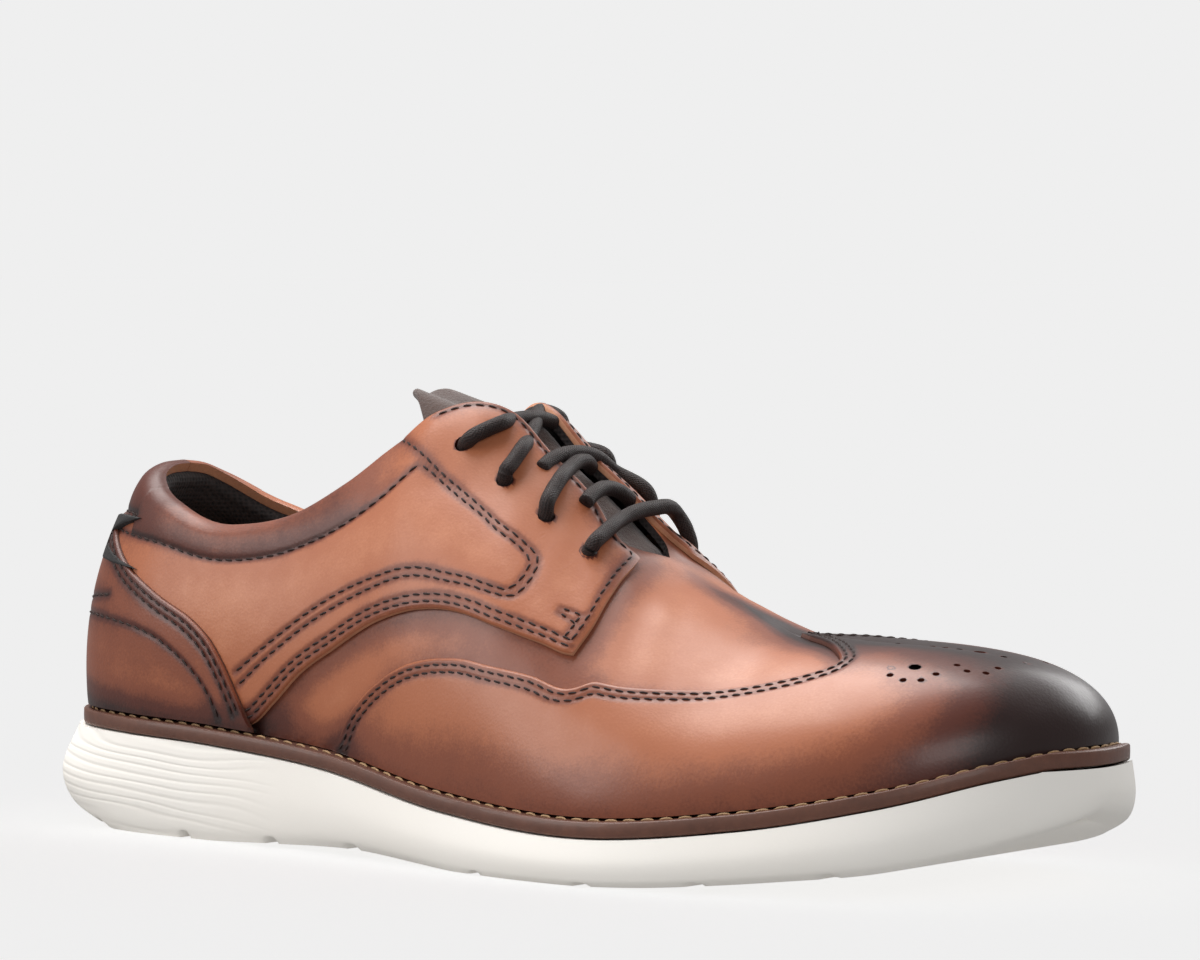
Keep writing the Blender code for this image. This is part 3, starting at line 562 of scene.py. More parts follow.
def roundCorner(a, b, corner):
    # draws in the far corner of a sheet's shares, past a start along and a start up it
    fromA, fromB = corner
    s = np.clip((a - fromA) / (1 - fromA), 0, 1)
    t = np.clip((b - fromB) / (1 - fromB), 0, 1)
    a = np.where(a > fromA, fromA + (1 - fromA) * s * np.sqrt(1 - t * t / 2), a)
    return a, np.where(b > fromB, fromB + (1 - fromB) * t * np.sqrt(1 - s * s / 2), b)


stands = {"vamp": 0.0, "cap": 0.0018, "quarter": 0.0020, "counter": 0.0034}
quarterSettings = {"columns": 250, "rows": 120, "inside": 0.0001, "outside": 0.0020, "backGap": 0.0012,
                   "corner": (0.950, 0.78), "reach": 0.585, "fanFrom": 0.80, "puff": 0.0008,
                   "eyelet": 0.00215}
doubleRow = (0.0016, 0.0034)


def quarterWay(a, b):
    # a quarter's column, lowest girth and share up it, with its front top corner rounded
    size = quarterSettings
    a, b = roundCorner(a, b, size["corner"])
    column = np.maximum(a * size["reach"], size["backGap"])
    low = np.maximum(readTable("quarterLow", "girth", column), 0)
    front = readTable("quarterFront", "column", low + (1 - low) * b)
    reach = size["backGap"] + (front - size["backGap"]) * a
    fanned = column + (reach - column) * ease(size["fanFrom"], 1.0, a)
    column = np.where(a > size["fanFrom"], fanned, column)
    return column, np.maximum(readTable("quarterLow", "girth", column), 0), b


def facingEdge():
    # the facing's free edge, from the collar by the throat and the rounded corner to the lower edge
    a = np.concatenate([np.linspace(quarterSettings["fanFrom"], 1, 240), np.ones(120)])
    b = np.concatenate([np.ones(240), np.linspace(1, 0.03, 120)])
    column, low, b = quarterWay(a, b)
    return np.stack([column, low + (1 - low) * b], 1)


def planSeams():
    planned = []

    def add(line, panel, distance=0.0, pitch=0.0032):
        points, normals = linePoints(line, stands[panel]), lastNormal(line[:, 0], line[:, 1])
        if distance:
            points = sidestep(points, normals, distance)
        planned.append({"points": points, "normals": normals, "panel": panel, "pitch": pitch})

    edges = panelLines()
    cap = np.linspace(0.408, 1.592, 700)
    capEdge = np.stack([cap, readTable("capEdge", "girth", columnOf(cap)[0])], 1)
    facing = facingEdge()
    free = {name: threadLine(fromPhoto(pixels, stands["quarter"]), 300)
            for name, pixels in photoSeams.items() if name != "counterLow"}
    counterLow = threadLine(fromPhoto(photoSeams["counterLow"], stands["counter"]))
    for distance in doubleRow:
        add(capEdge, "cap", -distance, 0.0030)
    for mirror, flip in ((lambda line: line, 1), (otherSide, -1)):
        add(mirror(free["collar"]), "quarter", 0, 0.0034)
        add(mirror(free["facingOuter"]), "quarter")
        add(mirror(free["facingInner"]), "quarter")
        for name in ("tackUpper", "tackLower", "tackFront"):
            add(mirror(free[name]), "quarter", 0, 0.0022)
        add(mirror(counterLow), "counter")
        for distance in doubleRow:
            add(mirror(edges["counterTop"])[:-6], "counter", -distance * flip)
            add(mirror(edges["quarterLow"])[2:-2], "quarter", distance * flip)
        add(mirror(facing)[2:-2], "quarter", -0.0019 * flip, 0.0031)
    return planned


seams = planSeams()
print("seams", len(seams))


def settleSeams(mesh, panel):
    # drops the panel's seams on to its outer face; a quarter takes those on its own side
    faces = [list(face.vertices) for face in mesh.polygons]
    tree = BVHTree.FromPolygons([vert.co for vert in mesh.vertices], faces)
    for seam in seams:
        if seam["panel"] != panel:
            continue
        found, ups = list(seam.get("settled", [])), list(seam.get("ups", []))
        for point, normal in zip(seam["points"] + shoeShift, seam["normals"]):
            hit = tree.ray_cast(Vector(point + normal * 0.003), Vector(-normal), 0.006)
            if hit[0] is not None and hit[1].dot(Vector(normal)) > 0.4:
                found.append(np.array(hit[0]) - shoeShift)
                ups.append(normal)
        if found:
            seam["settled"], seam["ups"] = np.array(found), np.array(ups)


# Materials
def feed(tree, sockets, given):
    # links the sockets among the values, and sets the plain ones
    for name, value in given.items():
        if isinstance(value, bpy.types.NodeSocket):
            tree.links.new(value, sockets[name])
        else:
            sockets[name].default_value = value


def addNode(tree, kind, inputs=None, **settings):
    node = tree.nodes.new(kind)
    for name, value in settings.items():
        setattr(node, name, value)
    feed(tree, node.inputs, inputs or {})
    return node


def maths(tree, operation, *values, clamp=False):
    node = addNode(tree, "ShaderNodeMath", dict(enumerate(values)), operation=operation, use_clamp=clamp)
    return node.outputs[0]


def weighted(tree, start, parts, clamp=False):
    # a start value plus each socket times its weight
    for count, (socket, weight) in enumerate(parts, 1):
        last = clamp and count == len(parts)
        start = maths(tree, "MULTIPLY_ADD", socket, weight, start, clamp=last)
    return start


def noise(tree, where, scale, detail, roughness=0.5):
    return addNode(tree, "ShaderNodeTexNoise", {"Vector": where, "Scale": scale, "Detail": detail,
                                                "Roughness": roughness}).outputs["Fac"]


def cells(tree, where, scale, randomness):
    return addNode(tree, "ShaderNodeTexVoronoi", {"Vector": where, "Scale": scale,
                                                  "Randomness": randomness}).outputs["Distance"]


def objectPlace(tree):
    return addNode(tree, "ShaderNodeTexCoord").outputs["Object"]


def makeGroup(name, inputs, outputs):
    # a colour or a number by its default value; "Color" is the one colour put out
    group = bpy.data.node_groups.new(name, "ShaderNodeTree")
    for label, value in inputs.items():
        kind = "NodeSocketColor" if isinstance(value, tuple) else "NodeSocketFloat"
        group.interface.new_socket(label, in_out="INPUT", socket_type=kind).default_value = value
    for label in outputs:
        kind = "NodeSocketColor" if label == "Color" else "NodeSocketFloat"
        group.interface.new_socket(label, in_out="OUTPUT", socket_type=kind)
    return group, group.nodes.new("NodeGroupInput").outputs, group.nodes.new("NodeGroupOutput").inputs


def colourRamp(tree, factor, stops):
    ramp = addNode(tree, "ShaderNodeValToRGB", {"Fac": factor})
    ramp.color_ramp.interpolation = "EASE"
    while len(ramp.color_ramp.elements) < len(stops):
        ramp.color_ramp.elements.new(0.5)
    for element, (place, colour) in zip(ramp.color_ramp.elements, stops):
        element.position = place
        element.color = (*colour, 1)
    return ramp.outputs["Color"]


def leatherGroup():
    # burnished calf: colour, roughness and the height of its grain, from how dark it is rubbed; on the vamp
    # that darkness also holds painted shadow beside the quarters' and the cap's edges
    group, given, out = makeGroup("burnishedLeather", {"Burnish and shade": 0.3, "Mottle": 0.3, "Sheen low": 0.34},
                                  ("Color", "Roughness", "Height"))
    where = objectPlace(group)
    cloud = noise(group, where, 30, 4, 0.55)
    blotch = noise(group, where, 170, 3, 0.6)
    fleck = noise(group, where, 1500, 2, 0.6)
    pores = cells(group, where, 1300, 1.0)
    drift = weighted(group, -0.70, [(cloud, 0.9), (blotch, 0.5)])
    shade = weighted(group, -0.08, [(given["Burnish and shade"], 1.0), (fleck, 0.16), (drift, given["Mottle"])], True)
    colour = colourRamp(group, shade, [
        (0.0, (0.52, 0.205, 0.105)), (0.28, (0.40, 0.130, 0.058)), (0.50, (0.22, 0.062, 0.030)),
        (0.72, (0.090, 0.021, 0.012)), (1.0, (0.017, 0.0042, 0.0036))])
    height = weighted(group, 0.0, [(pores, 0.55), (fleck, 0.45), (blotch, 0.5)])
    feed(group, out, {"Color": colour, "Roughness": weighted(group, given["Sheen low"], [(blotch, 0.14)]),
                      "Height": height})
    return group


def newMaterial(name, **plain):
    material = bpy.data.materials.new(name)
    material.use_nodes = True
    tree = material.node_tree
    shader = tree.nodes["Principled BSDF"]
    feed(tree, shader.inputs, {label.replace("_", " "): value for label, value in plain.items()})
    return material, tree, shader


def surface(tree, shader, height, strength, distance, **sockets):
    # links what varies to the shader, with a bump from a height
    bump = addNode(tree, "ShaderNodeBump", {"Height": height, "Strength": strength, "Distance": distance})
    sockets = {label.replace("_", " "): value for label, value in sockets.items()}
    feed(tree, shader.inputs, {**sockets, "Normal": bump.outputs["Normal"]})


def makeLeather(name, mottle, sheenLow, coat, strength):
    material, tree, shader = newMaterial(name, Coat_Weight=coat, Coat_Roughness=0.22, Specular_IOR_Level=0.38)
    # the darkness: burnish, and on the vamp also painted shadow beside the panels' edges
    burnishAndShade = addNode(tree, "ShaderNodeAttribute", attribute_name="burnishAndShade").outputs["Fac"]
    skin = addNode(tree, "ShaderNodeGroup", {"Burnish and shade": burnishAndShade, "Mottle": mottle, "Sheen low": sheenLow},
                   node_tree=leatherSkin).outputs
    surface(tree, shader, skin["Height"], strength, 0.00012, Base_Color=skin["Color"],
            Roughness=skin["Roughness"])
    return material


def fibreGroup():
    # short fibres and specks for cut leather, suede, thread and cloth
    group, given, out = makeGroup("fibre", {"Light": (1, 1, 1, 1), "Dark": (0, 0, 0, 1), "Size": 900},
                                  ("Color", "Height"))
    where = objectPlace(group)
    fine = noise(group, where, given["Size"], 4, 0.7)
    share = weighted(group, 0.0, [(fine, 0.7), (noise(group, where, 90, 3), 0.5)], True)
    mix = addNode(group, "ShaderNodeMix", data_type="RGBA")
    feed(group, mix.inputs, {"Factor": share, 6: given["Dark"], 7: given["Light"]})
    feed(group, out, {"Color": mix.outputs[2], "Height": fine})
    return group


def makeFibre(name, light, dark, size, roughness, strength, distance=0.0002, **plain):
    material, tree, shader = newMaterial(name, Roughness=roughness, **plain)
    fibre = addNode(tree, "ShaderNodeGroup", {"Light": (*light, 1), "Dark": (*dark, 1), "Size": size},
                    node_tree=fibreSpeck).outputs
    surface(tree, shader, fibre["Height"], strength, distance, Base_Color=fibre["Color"])
    return material


def makeCordMaterial():
    # a waxed round braid: its UV map is metres along and round the cord
    material, tree, shader = newMaterial("wovenLace", Coat_Weight=0.05, Coat_Roughness=0.4,
                                         Specular_IOR_Level=0.3)
    where = addNode(tree, "ShaderNodeTexCoord").outputs["UV"]
    along, around, _ = addNode(tree, "ShaderNodeSeparateXYZ", {"Vector": where}).outputs
    waves = []
    for way in ("ADD", "SUBTRACT"):
        phase = maths(tree, "MULTIPLY", maths(tree, way, along, around), 2 * math.pi / 0.0016)
        waves.append(maths(tree, "ABSOLUTE", maths(tree, "SINE", phase)))
    fibre = noise(tree, objectPlace(tree), 2500, 2)
    weave = maths(tree, "MAXIMUM", *waves)
    shade = maths(tree, "MULTIPLY", weave, maths(tree, "ADD", fibre, 0.3), clamp=True)
    colour = colourRamp(tree, shade, [(0.0, (0.002, 0.001, 0.0009)), (0.5, (0.010, 0.0052, 0.0046)),
                                      (1.0, (0.040, 0.022, 0.020))])
    rough = weighted(tree, 0.42, [(fibre, 0.25)])
    surface(tree, shader, shade, 0.9, 0.00035, Base_Color=colour, Roughness=rough)
    return material


def makeLining():
    # dark knitted lining inside the collar and the facings
    material, tree, shader = newMaterial("meshLining", Roughness=0.85)
    knit = cells(tree, objectPlace(tree), 900, 0.25)
    colour = colourRamp(tree, knit, [(0.0, (0.004, 0.003, 0.003)), (0.7, (0.026, 0.018, 0.017))])
    surface(tree, shader, knit, 0.8, 0.0004, Base_Color=colour)
    return material


def makeSoleMaterial():
    # off-white foam with wavy carved lines round the heel, the lines also painted darker: painted shade in
    # the grooves
    material, tree, shader = newMaterial("soleFoam")
    where = objectPlace(tree)
    x, _, z = addNode(tree, "ShaderNodeSeparateXYZ", {"Vector": where}).outputs
    stretch = addNode(tree, "ShaderNodeMapping", {"Vector": where, "Scale": (0.35, 0.35, 2.2)})
    bend = noise(tree, stretch.outputs["Vector"], 26, 2)
    rise = weighted(tree, z, [(bend, 0.022), (x, 0.10)])
    band = maths(tree, "SINE", maths(tree, "MULTIPLY", rise, 2 * math.pi / 0.0031))
    line = maths(tree, "POWER", weighted(tree, 0.5, [(band, 0.5)]), 3.0)
    heel = addNode(tree, "ShaderNodeMapRange", {"Value": x, "From Min": -0.055, "From Max": -0.095})
    carved = maths(tree, "MULTIPLY", line, heel.outputs["Result"])
    grain, soil = noise(tree, where, 1400, 3), noise(tree, where, 22, 5)
    # painted shade: the carved grooves are made darker in colour as well as cut by the bump
    shade = weighted(tree, 0.3, [(soil, 0.7), (carved, -0.10)], True)
    colour = colourRamp(tree, shade, [(0.0, (0.74, 0.69, 0.62)), (0.55, (0.92, 0.885, 0.83)),
                                      (1.0, (0.95, 0.925, 0.88))])
    height = weighted(tree, 0.0, [(carved, -1.0), (grain, 0.10)])
    rough = weighted(tree, 0.48, [(grain, 0.2)])
    surface(tree, shader, height, 0.35, 0.0004, Base_Color=colour, Roughness=rough)
    return material


leatherSkin = leatherGroup()
fibreSpeck = fibreGroup()
finish = {
    "vamp": makeLeather("vampLeather", 0.30, 0.36, 0.12, 0.35),
    "quarter": makeLeather("quarterLeather", 0.36, 0.38, 0.10, 0.45),
    "cap": makeLeather("capLeather", 0.24, 0.33, 0.16, 0.30),
    "counter": makeLeather("counterLeather", 0.28, 0.36, 0.12, 0.40),
    "rawEdge": makeFibre("rawEdge", (0.62, 0.30, 0.17), (0.30, 0.11, 0.055), 1400, 0.75, 0.4),
    "darkEdge": makeFibre("darkEdge", (0.11, 0.036, 0.020), (0.045, 0.014, 0.010), 1400, 0.55, 0.4),
    "lining": makeLining(),
    "suede": makeFibre("suede", (0.095, 0.052, 0.040), (0.028, 0.015, 0.013), 1100, 0.95, 0.9, 0.0004,
                       Sheen_Weight=0.35, Sheen_Roughness=0.5),
    "darkThread": makeFibre("darkThread", (0.030, 0.0095, 0.0065), (0.008, 0.003, 0.0025), 3000, 0.75, 0.6),
    "weltThread": makeFibre("weltThread", (0.50, 0.32, 0.16), (0.20, 0.10, 0.045), 3000, 0.60, 0.6),
    "welt": makeFibre("weltLeather", (0.165, 0.062, 0.036), (0.050, 0.018, 0.012), 500, 0.48, 0.5,
                      Coat_Weight=0.10),
    "insole": makeFibre("insoleLeather", (0.46, 0.23, 0.12), (0.26, 0.11, 0.055), 700, 0.60, 0.4),
    "lace": makeCordMaterial(),
    "sole": makeSoleMaterial(),
    "tape": makeFibre("blackTape", (0.024, 0.022, 0.022), (0.008, 0.007, 0.008), 2200, 0.75, 0.8),
}


# How dark the leather is rubbed: all over, at the low edges, toe, heel, collar and along the seams. The two
# edge values darken the vamp beside the quarters' and the cap's edges: partly burnish, partly painted shadow
# of the panels lying over it
burnishAndShadeLevels = {
    "all": 0.16, "low": 0.44, "lowForward": 0.06, "toe": 0.86, "toeTop": 0.40, "heel": 0.16, "ridge": 0.20,
    "quarterEdgeBurnishAndShadow": 0.42, "capEdge": 0.22, "throat": 0.26, "seamLine": 0.30, "seamWide": 0.13, "facing": 0.10,
    "collarOuter": 0.40, "collarInner": 0.05, "counter": 0.20,
}


def rubbed(column, girth):
    dark = burnishAndShadeLevels
    forward = ease(0.40, 0.50, column)
    low = (dark["low"] - dark["lowForward"] * forward) * (1 - ease(0.00, 0.20 + 0.10 * forward, girth))
    toe = dark["toe"] * ease(0.74, 1.0, column)
    toe += dark["toeTop"] * ease(0.60, 0.84, column) * ease(0.45, 0.80, girth)
    heel = dark["heel"] * (1 - ease(0.10, 0.32, column))
    return dark["all"] + low + toe + heel + dark["ridge"] * ease(0.80, 1.0, girth) * ease(0.585, 0.64, column)


def collarLine(column):
    return np.interp(column, collarSeam[:, 0], collarSeam[:, 1])


collarSeam = threadLine(fromPhoto(photoSeams["collar"], stands["quarter"]))


def padWall(u, v):
    column, _ = columnOf(u)
    return shoe["wall"] + shoe["collarPad"] * ease(0.78, 0.94, v) * (1 - ease(0.42, 0.46, column))


rollSize = {"share": 0.10, "stand": 0.0020, "start": 0.405, "end": 0.455}


def rolled(u, b):
    # where a sheet's top rows turn over the padded collar: the roll's share, the pad's half, the girth
    # at the turn, the share below it and the angle past it
    column, _ = columnOf(u)
    k = 1 - ease(rollSize["start"], rollSize["end"], column)
    pad = 0.5 * (shoe["wall"] + shoe["collarPad"] * k)
    turn = 1 - rollSize["share"] * k
    beyond = np.clip((b - turn) / np.maximum(1 - turn, 1e-6), 0, 1)
    vTop = 1 - k * (pad + rollSize["stand"]) / readLattice("girth", u, b)
    return k, pad, vTop, np.clip(b / turn, 0, 1), k * beyond * math.pi / 2


def upDirection(u, v):
    high, low = np.minimum(v + 0.01, 1), np.maximum(v - 0.01, 0)
    return unit(lastPoint(u, high) - lastPoint(u, low))


def overRoll(u, v, out, angle, pad, across, up):
    # points at a stand from the last, or round the collar's pad where the sheet has turned
    turned = angle > 0
    points = onLast(u, v, np.where(turned, -pad + across * np.cos(angle), out))
    return points + upDirection(u, v) * np.where(turned, up * np.sin(angle), 0)[:, None]


vampSettings = {"columns": 420, "rows": 84, "bunching": 1.10}


def makeVamp():
    def place(a, b, layer):
        u = 2 * a
        _, pad, vTop, share, angle = rolled(u, b)
        v = share ** vampSettings["bunching"] * vTop
        out = np.where(layer < 0.5, -padWall(u, v / vTop), 0.0)
        return overRoll(u, v, out, angle, pad, np.where(layer < 0.5, -pad, pad), pad), u, v

    def sewn(a, b):
        column = 1 - abs(1 - 2 * a)
        seam = a < 1e-4 or a > 1 - 1e-4
        return seam or (b > 1 - 1e-4 and (column > shoe["throatEnd"] - 1e-4 or column < rollSize["start"]))

    mesh = layeredSheet(vampSettings, place, sewn)
    column, _ = columnOf(meshValues(mesh, "around"))
    girth = meshValues(mesh, "girth")
    points = meshPoints(mesh)
    edges = panelLines()
    shade = rubbed(column, girth)
    # painted shadow: the vamp is darkened beside the quarters' and the cap's edges, partly as burnish and
    # partly as the shade those panels cast on it
    for names, dark, reach in ((("quarterLow", "quarterFront"), "quarterEdgeBurnishAndShadow", 0.0075),
                               (("capEdge",), "capEdge", 0.0040)):
        lines = [linePoints(line, 0) for name in names for line in (edges[name], otherSide(edges[name]))]
        shade += burnishAndShadeLevels[dark] * np.exp(-(awayFrom(points, lines) / reach) ** 2)
    shade += burnishAndShadeLevels["throat"] * ease(0.88, 1.0, girth) * ease(0.60, 0.70, column)
    paint(mesh, "burnishAndShade", shade)
    addPiece("vamp", mesh, ["vamp", "lining", "lining"], ["upper"])


edgeRound = {"rings": 1.6, "power": 1.6}


def edgeFall(a, b, size, sides, depth):
    # how much lower a panel's face lies in the rings next to its free edges
    away = {"low": b * size["rows"], "high": (1 - b) * size["rows"],
            "back": a * size["columns"], "front": (1 - a) * size["columns"]}
    rings = np.min([away[side] for side in sides], 0)
    return depth * np.clip(1 - rings / edgeRound["rings"], 0, 1) ** edgeRound["power"]


capSettings = {"columns": 400, "rows": 70, "start": 0.405, "inside": 0.0001, "outside": 0.0018,
               "bunching": 1.05}
panelSlots = {"quarter": "quarter", "cap": "wing_cap", "counter": "heel_counter"}
punches = {"large": 0.00150, "small": 0.00085}


def holeCutter(holes):
    # holes are (point, direction, radius); the cutter is one object of short pegs
    bm = bmesh.new()
    for point, normal, radius in holes:
        verts = bmesh.ops.create_cone(bm, cap_ends=True, segments=14, radius1=radius, radius2=radius,
                                      depth=0.006)["verts"]
        turn = Vector((0, 0, 1)).rotation_difference(Vector(normal)).to_matrix()
        bmesh.ops.rotate(bm, cent=(0, 0, 0), matrix=turn, verts=verts)
        bmesh.ops.translate(bm, vec=Vector(point + shoeShift), verts=verts)
    return bpy.data.objects.new("punches", toMesh(bm, "punches"))


def cutHoles(mesh, holes):
    body, cutter = bpy.data.objects.new("cut", mesh), holeCutter(holes)
    for item in (body, cutter):
        bpy.context.scene.collection.objects.link(item)
    cut = body.modifiers.new("holes", "BOOLEAN")
    cut.object = cutter
    cut.solver = "FAST"
    bpy.context.view_layer.update()
    result = bpy.data.meshes.new_from_object(body.evaluated_get(bpy.context.evaluated_depsgraph_get()))
    if len(result.polygons) < len(mesh.polygons):
        print("holes not cut", len(result.polygons))
        result = mesh.copy()
    for item in (body, cutter):
        bpy.data.objects.remove(item)
    return result


def addPanel(name, panel, size, place, edge, node, holes=(), collarDark=0.0):
    mesh = layeredSheet(size, place)
    if holes:
        mesh = cutHoles(mesh, holes)
    dressPanel(mesh, panel, collarDark)
    addPiece(name, mesh, [panel, "lining", edge], [node])


# The medallion's holes read from the photograph: the outer half, and those on the middle line
photoPunches = {
    "side": [(890, 675, "small"), (903, 680, "small"), (921, 680, "small"), (936, 674, "small"),
             (943, 667, "small"), (957, 665, "small"), (967, 671, "small"), (986, 673, "small"),
             (998, 668, "small"), (891, 668, "small"), (915, 667, "large")],
    "middle": [(897, 659, "small"), (932, 657, "small"), (945, 657, "small"), (959, 658, "small"),
               (980, 660, "large"), (1004, 662, "small"), (1026, 664, "small"), (1047, 667, "small"),
               (1067, 672, "small"), (1086, 678, "small")],
}


def makeWingCap():
    size = capSettings

    def place(a, b, layer):
        u = size["start"] + a * (2 - 2 * size["start"])
        v = b ** size["bunching"] * readTable("capEdge", "girth", columnOf(u)[0])
        fall = edgeFall(a, b, size, ("high",), 0.0007)
        return onLast(u, v, np.where(layer < 0.5, size["inside"], size["outside"] - fall)), u, v

    addPanel("wingCap", "cap", size, place, "darkEdge", "wing_cap", planPunches())


def planPunches():
    spots = []
    side = photoPunches["side"]
    for (u, v), (_, _, kind) in zip(fromPhoto([pixel[:2] for pixel in side], stands["cap"]), side):
        spots += [(u, v, kind), (2 - u, v, kind)]
    girths = np.linspace(1.0, 0.3, 300)
    seen = inPhoto(onLast(1.0, girths, stands["cap"]))
    for x, _, kind in photoPunches["middle"]:
        spots.append((1.0, float(np.interp(x, seen[:, 0], girths)), kind))
    return [(onLast(u, v, capSettings["outside"]), lastNormal(u, v), punches[kind]) for u, v, kind in spots]


def dressPanel(mesh, panel, collarDark):
    # the stitch lines' troughs and their dark rubbing
    settleSeams(mesh, panel)
    points = meshPoints(mesh)
    around, girth = meshValues(mesh, "around"), meshValues(mesh, "girth")
    column, _ = columnOf(around)
    sewn = [seam["settled"] for seam in seams if seam["panel"] == panel and "settled" in seam]
    away = awayFrom(points, sewn)
    normals = readAll(mesh.vertices, "normal", 3)
    facing = (normals * lastNormal(around, girth)).sum(1) > 0.3
    trough = 0.00022 * np.exp(-(away / 0.0008) ** 2) * facing
    points = points - normals * trough[:, None]
    mesh.vertices.foreach_set("co", (points + shoeShift).ravel())
    shade = rubbed(column, girth) + burnishAndShadeLevels.get(panel, 0.0)
    for dark, reach in (("seamLine", 0.0011), ("seamWide", 0.0050)):
        shade = shade + burnishAndShadeLevels[dark] * np.exp(-(away / reach) ** 2)
    if panel == "quarter":
        above = ease(-0.02, 0.02, girth - collarLine(column)) * (1 - ease(0.40, 0.47, column))
        shade = shade + collarDark * above
        shade = shade + burnishAndShadeLevels["facing"] * ease(0.44, 0.50, column) * ease(0.62, 0.80, girth)
    paint(mesh, "burnishAndShade", shade)


def makeQuarter(name, side, node):
    size = quarterSettings

    def place(a, b, layer):
        fall = edgeFall(a, b, size, ("low", "front"), 0.0008)
        flat = edgeFall(a, b, size, ("high",), 0.0007)
        column, low, b = quarterWay(a, b)
        u = np.where(side < 0, column, 2 - column)
        k, pad, vTop, share, angle = rolled(u, b)
        v = low + (vTop - low) * share
        seam = collarLine(column)
        puff = size["puff"] * np.sin(np.pi * np.clip((v - seam) / np.maximum(1 - seam, 0.02), 0, 1)) * k
        face = size["outside"] - np.maximum(fall, flat * (1 - k)) + puff
        base = np.where(layer < 0.5, size["inside"], face)
        return overRoll(u, v, base, angle, pad, pad + base, pad + base), u, v

    holes = []
    for column, girth in eyelets:
        u = column if side < 0 else 2 - column
        holes.append((onLast(u, girth, 0.001), lastNormal(u, girth), size["eyelet"]))
    collarDark = burnishAndShadeLevels["collarOuter" if side < 0 else "collarInner"]
    addPanel(name, "quarter", size, place, "rawEdge", node, holes, collarDark)


counterSettings = {"columns": 300, "rows": 70, "inside": 0.0019, "outside": 0.0034}


def makeCounter():
    size = counterSettings

    def place(a, b, layer):
        way = 2 * a - 1
        column = readTable("counterTop", "column", np.abs(way))
        v = b * readTable("counterTop", "girth", np.abs(way))
        fall = edgeFall(a, b, size, ("high", "front", "back"), 0.0008)
        u = np.where(way < 0, 2 - column, column)
        return onLast(u, v, np.where(layer < 0.5, size["inside"], size["outside"] - fall)), u, v

    addPanel("heelCounter", "counter", size, place, "darkEdge", "heel_counter")


tongueSettings = {
    "columns": 70, "rows": 110, "thickness": 0.0024, "gap": 0.0018, "rise": 0.0250,
    "start": 0.63, "top": 0.485, "reach": 0.70, "body": 0.68, "narrowing": 0.38, "rounding": 0.10,
    "arch": 0.06, "lean": (0.96, 0.28),
    "corner": (0.15, 0.78), "topCurve": 0.25, "edgeFall": 0.35, "edgeRings": 2.5, "table": 80,
}


def makeTongue():
    size = tongueSettings

    def section(column, across):
        ways = [(column, size["reach"]), (column, 0.96), (2 - column, 0.96), (2 - column, size["reach"])]
        stops = [onLast(u, v, -(shoe["wall"] + size["gap"])) for u, v in ways]
        middle = (stops[1] + stops[2]) / 2
        middle[2] += size["arch"] * np.linalg.norm(stops[1] - stops[2])
        stops.insert(2, middle)
        return smoothRows([-1, -0.6, 0, 0.6, 1], stops, across)

    def row(value, across):
        if value <= size["body"]:
            return section(size["start"] + (size["top"] - size["start"]) * value / size["body"], across)
        beyond = (value - size["body"]) / (1 - size["body"])
        across = across * (1 - size["narrowing"] * beyond ** 1.2)
        base = section(size["top"], across)
        middle = section(size["top"], 0.0)
        base[:, 1] = middle[1] + (base[:, 1] - middle[1]) * (1 - size["rounding"] * beyond ** 3)
        rise = size["rise"] * beyond * (1 - size["topCurve"] * across ** 2)
        base[:, 0] -= size["lean"][0] * rise
        base[:, 2] += size["lean"][1] * rise
        return base

    count = size["table"]
    rows = np.array([row(value, np.linspace(-1, 1, count + 1)) for value in np.linspace(0, 1, count + 1)])

    def sheet(a, b):
        i, j = (np.clip((share * count).astype(int), 0, count - 1) for share in (b, a))
        s, t = (b * count - i)[:, None], (a * count - j)[:, None]
        low = rows[i, j] * (1 - t) + rows[i, j + 1] * t
        return low * (1 - s) + (rows[i + 1, j] * (1 - t) + rows[i + 1, j + 1] * t) * s

    def place(a, b, layer):
        ring = np.minimum(np.minimum(a, 1 - a) * size["columns"], (1 - b) * size["rows"])
        fall = size["edgeFall"] * np.clip(1 - ring / size["edgeRings"], 0, 1) ** 2
        depth = np.where(layer < 0.5, 1 - fall, fall) * size["thickness"]
        wide, high = roundCorner(np.abs(2 * a - 1), b, size["corner"])
        wide = (np.sign(2 * a - 1) * wide + 1) / 2
        step = 0.02
        across = sheet(np.minimum(wide + step, 1), high) - sheet(np.maximum(wide - step, 0), high)
        along = sheet(wide, np.minimum(high + step, 1)) - sheet(wide, np.maximum(high - step, 0))
        normal = unit(np.cross(across, along))
        down = np.where(normal[:, 2:] > 0, -normal, normal)
        return sheet(wide, high) + down * depth[:, None], a, b

    mesh = layeredSheet(size, place)
    addPiece("tongue", mesh, ["suede"] * 3, ["tongue"])


weltSettings = {"columns": 480, "around": 24, "squareness": 0.22, "pitch": 0.0047, "stitch": 0.0038,
                "thread": 0.00062, "seamReach": 0.0022}


def makeWelt():
    size = weltSettings
    half = (shoe["weltReach"] + shoe["weltSeat"]) / 2
    centre = (shoe["weltReach"] - shoe["weltSeat"]) / 2

    def squared(value):
        return np.sign(value) * np.abs(value) ** size["squareness"]

    def place(a, b):
        turn = 2 * np.pi * b
        lift = shoe["weltThickness"] / 2 * (squared(np.sin(turn)) - 1)
        return deckPoint(2 * a, centre + half * squared(np.cos(turn)), lift)

    addPiece("welt", gridMesh([(size["columns"], size["around"], place)]), ["welt"], ["welt"])


def spread(line):
    # a flat sheet between a line round the shoe's outer side and its inner side
    def place(a, b):
        return line(a) * (1 - b)[:, None] + line(2 - a) * b[:, None]
    return place


insoleSettings = {"thickness": 0.0030, "gap": 0.0012}


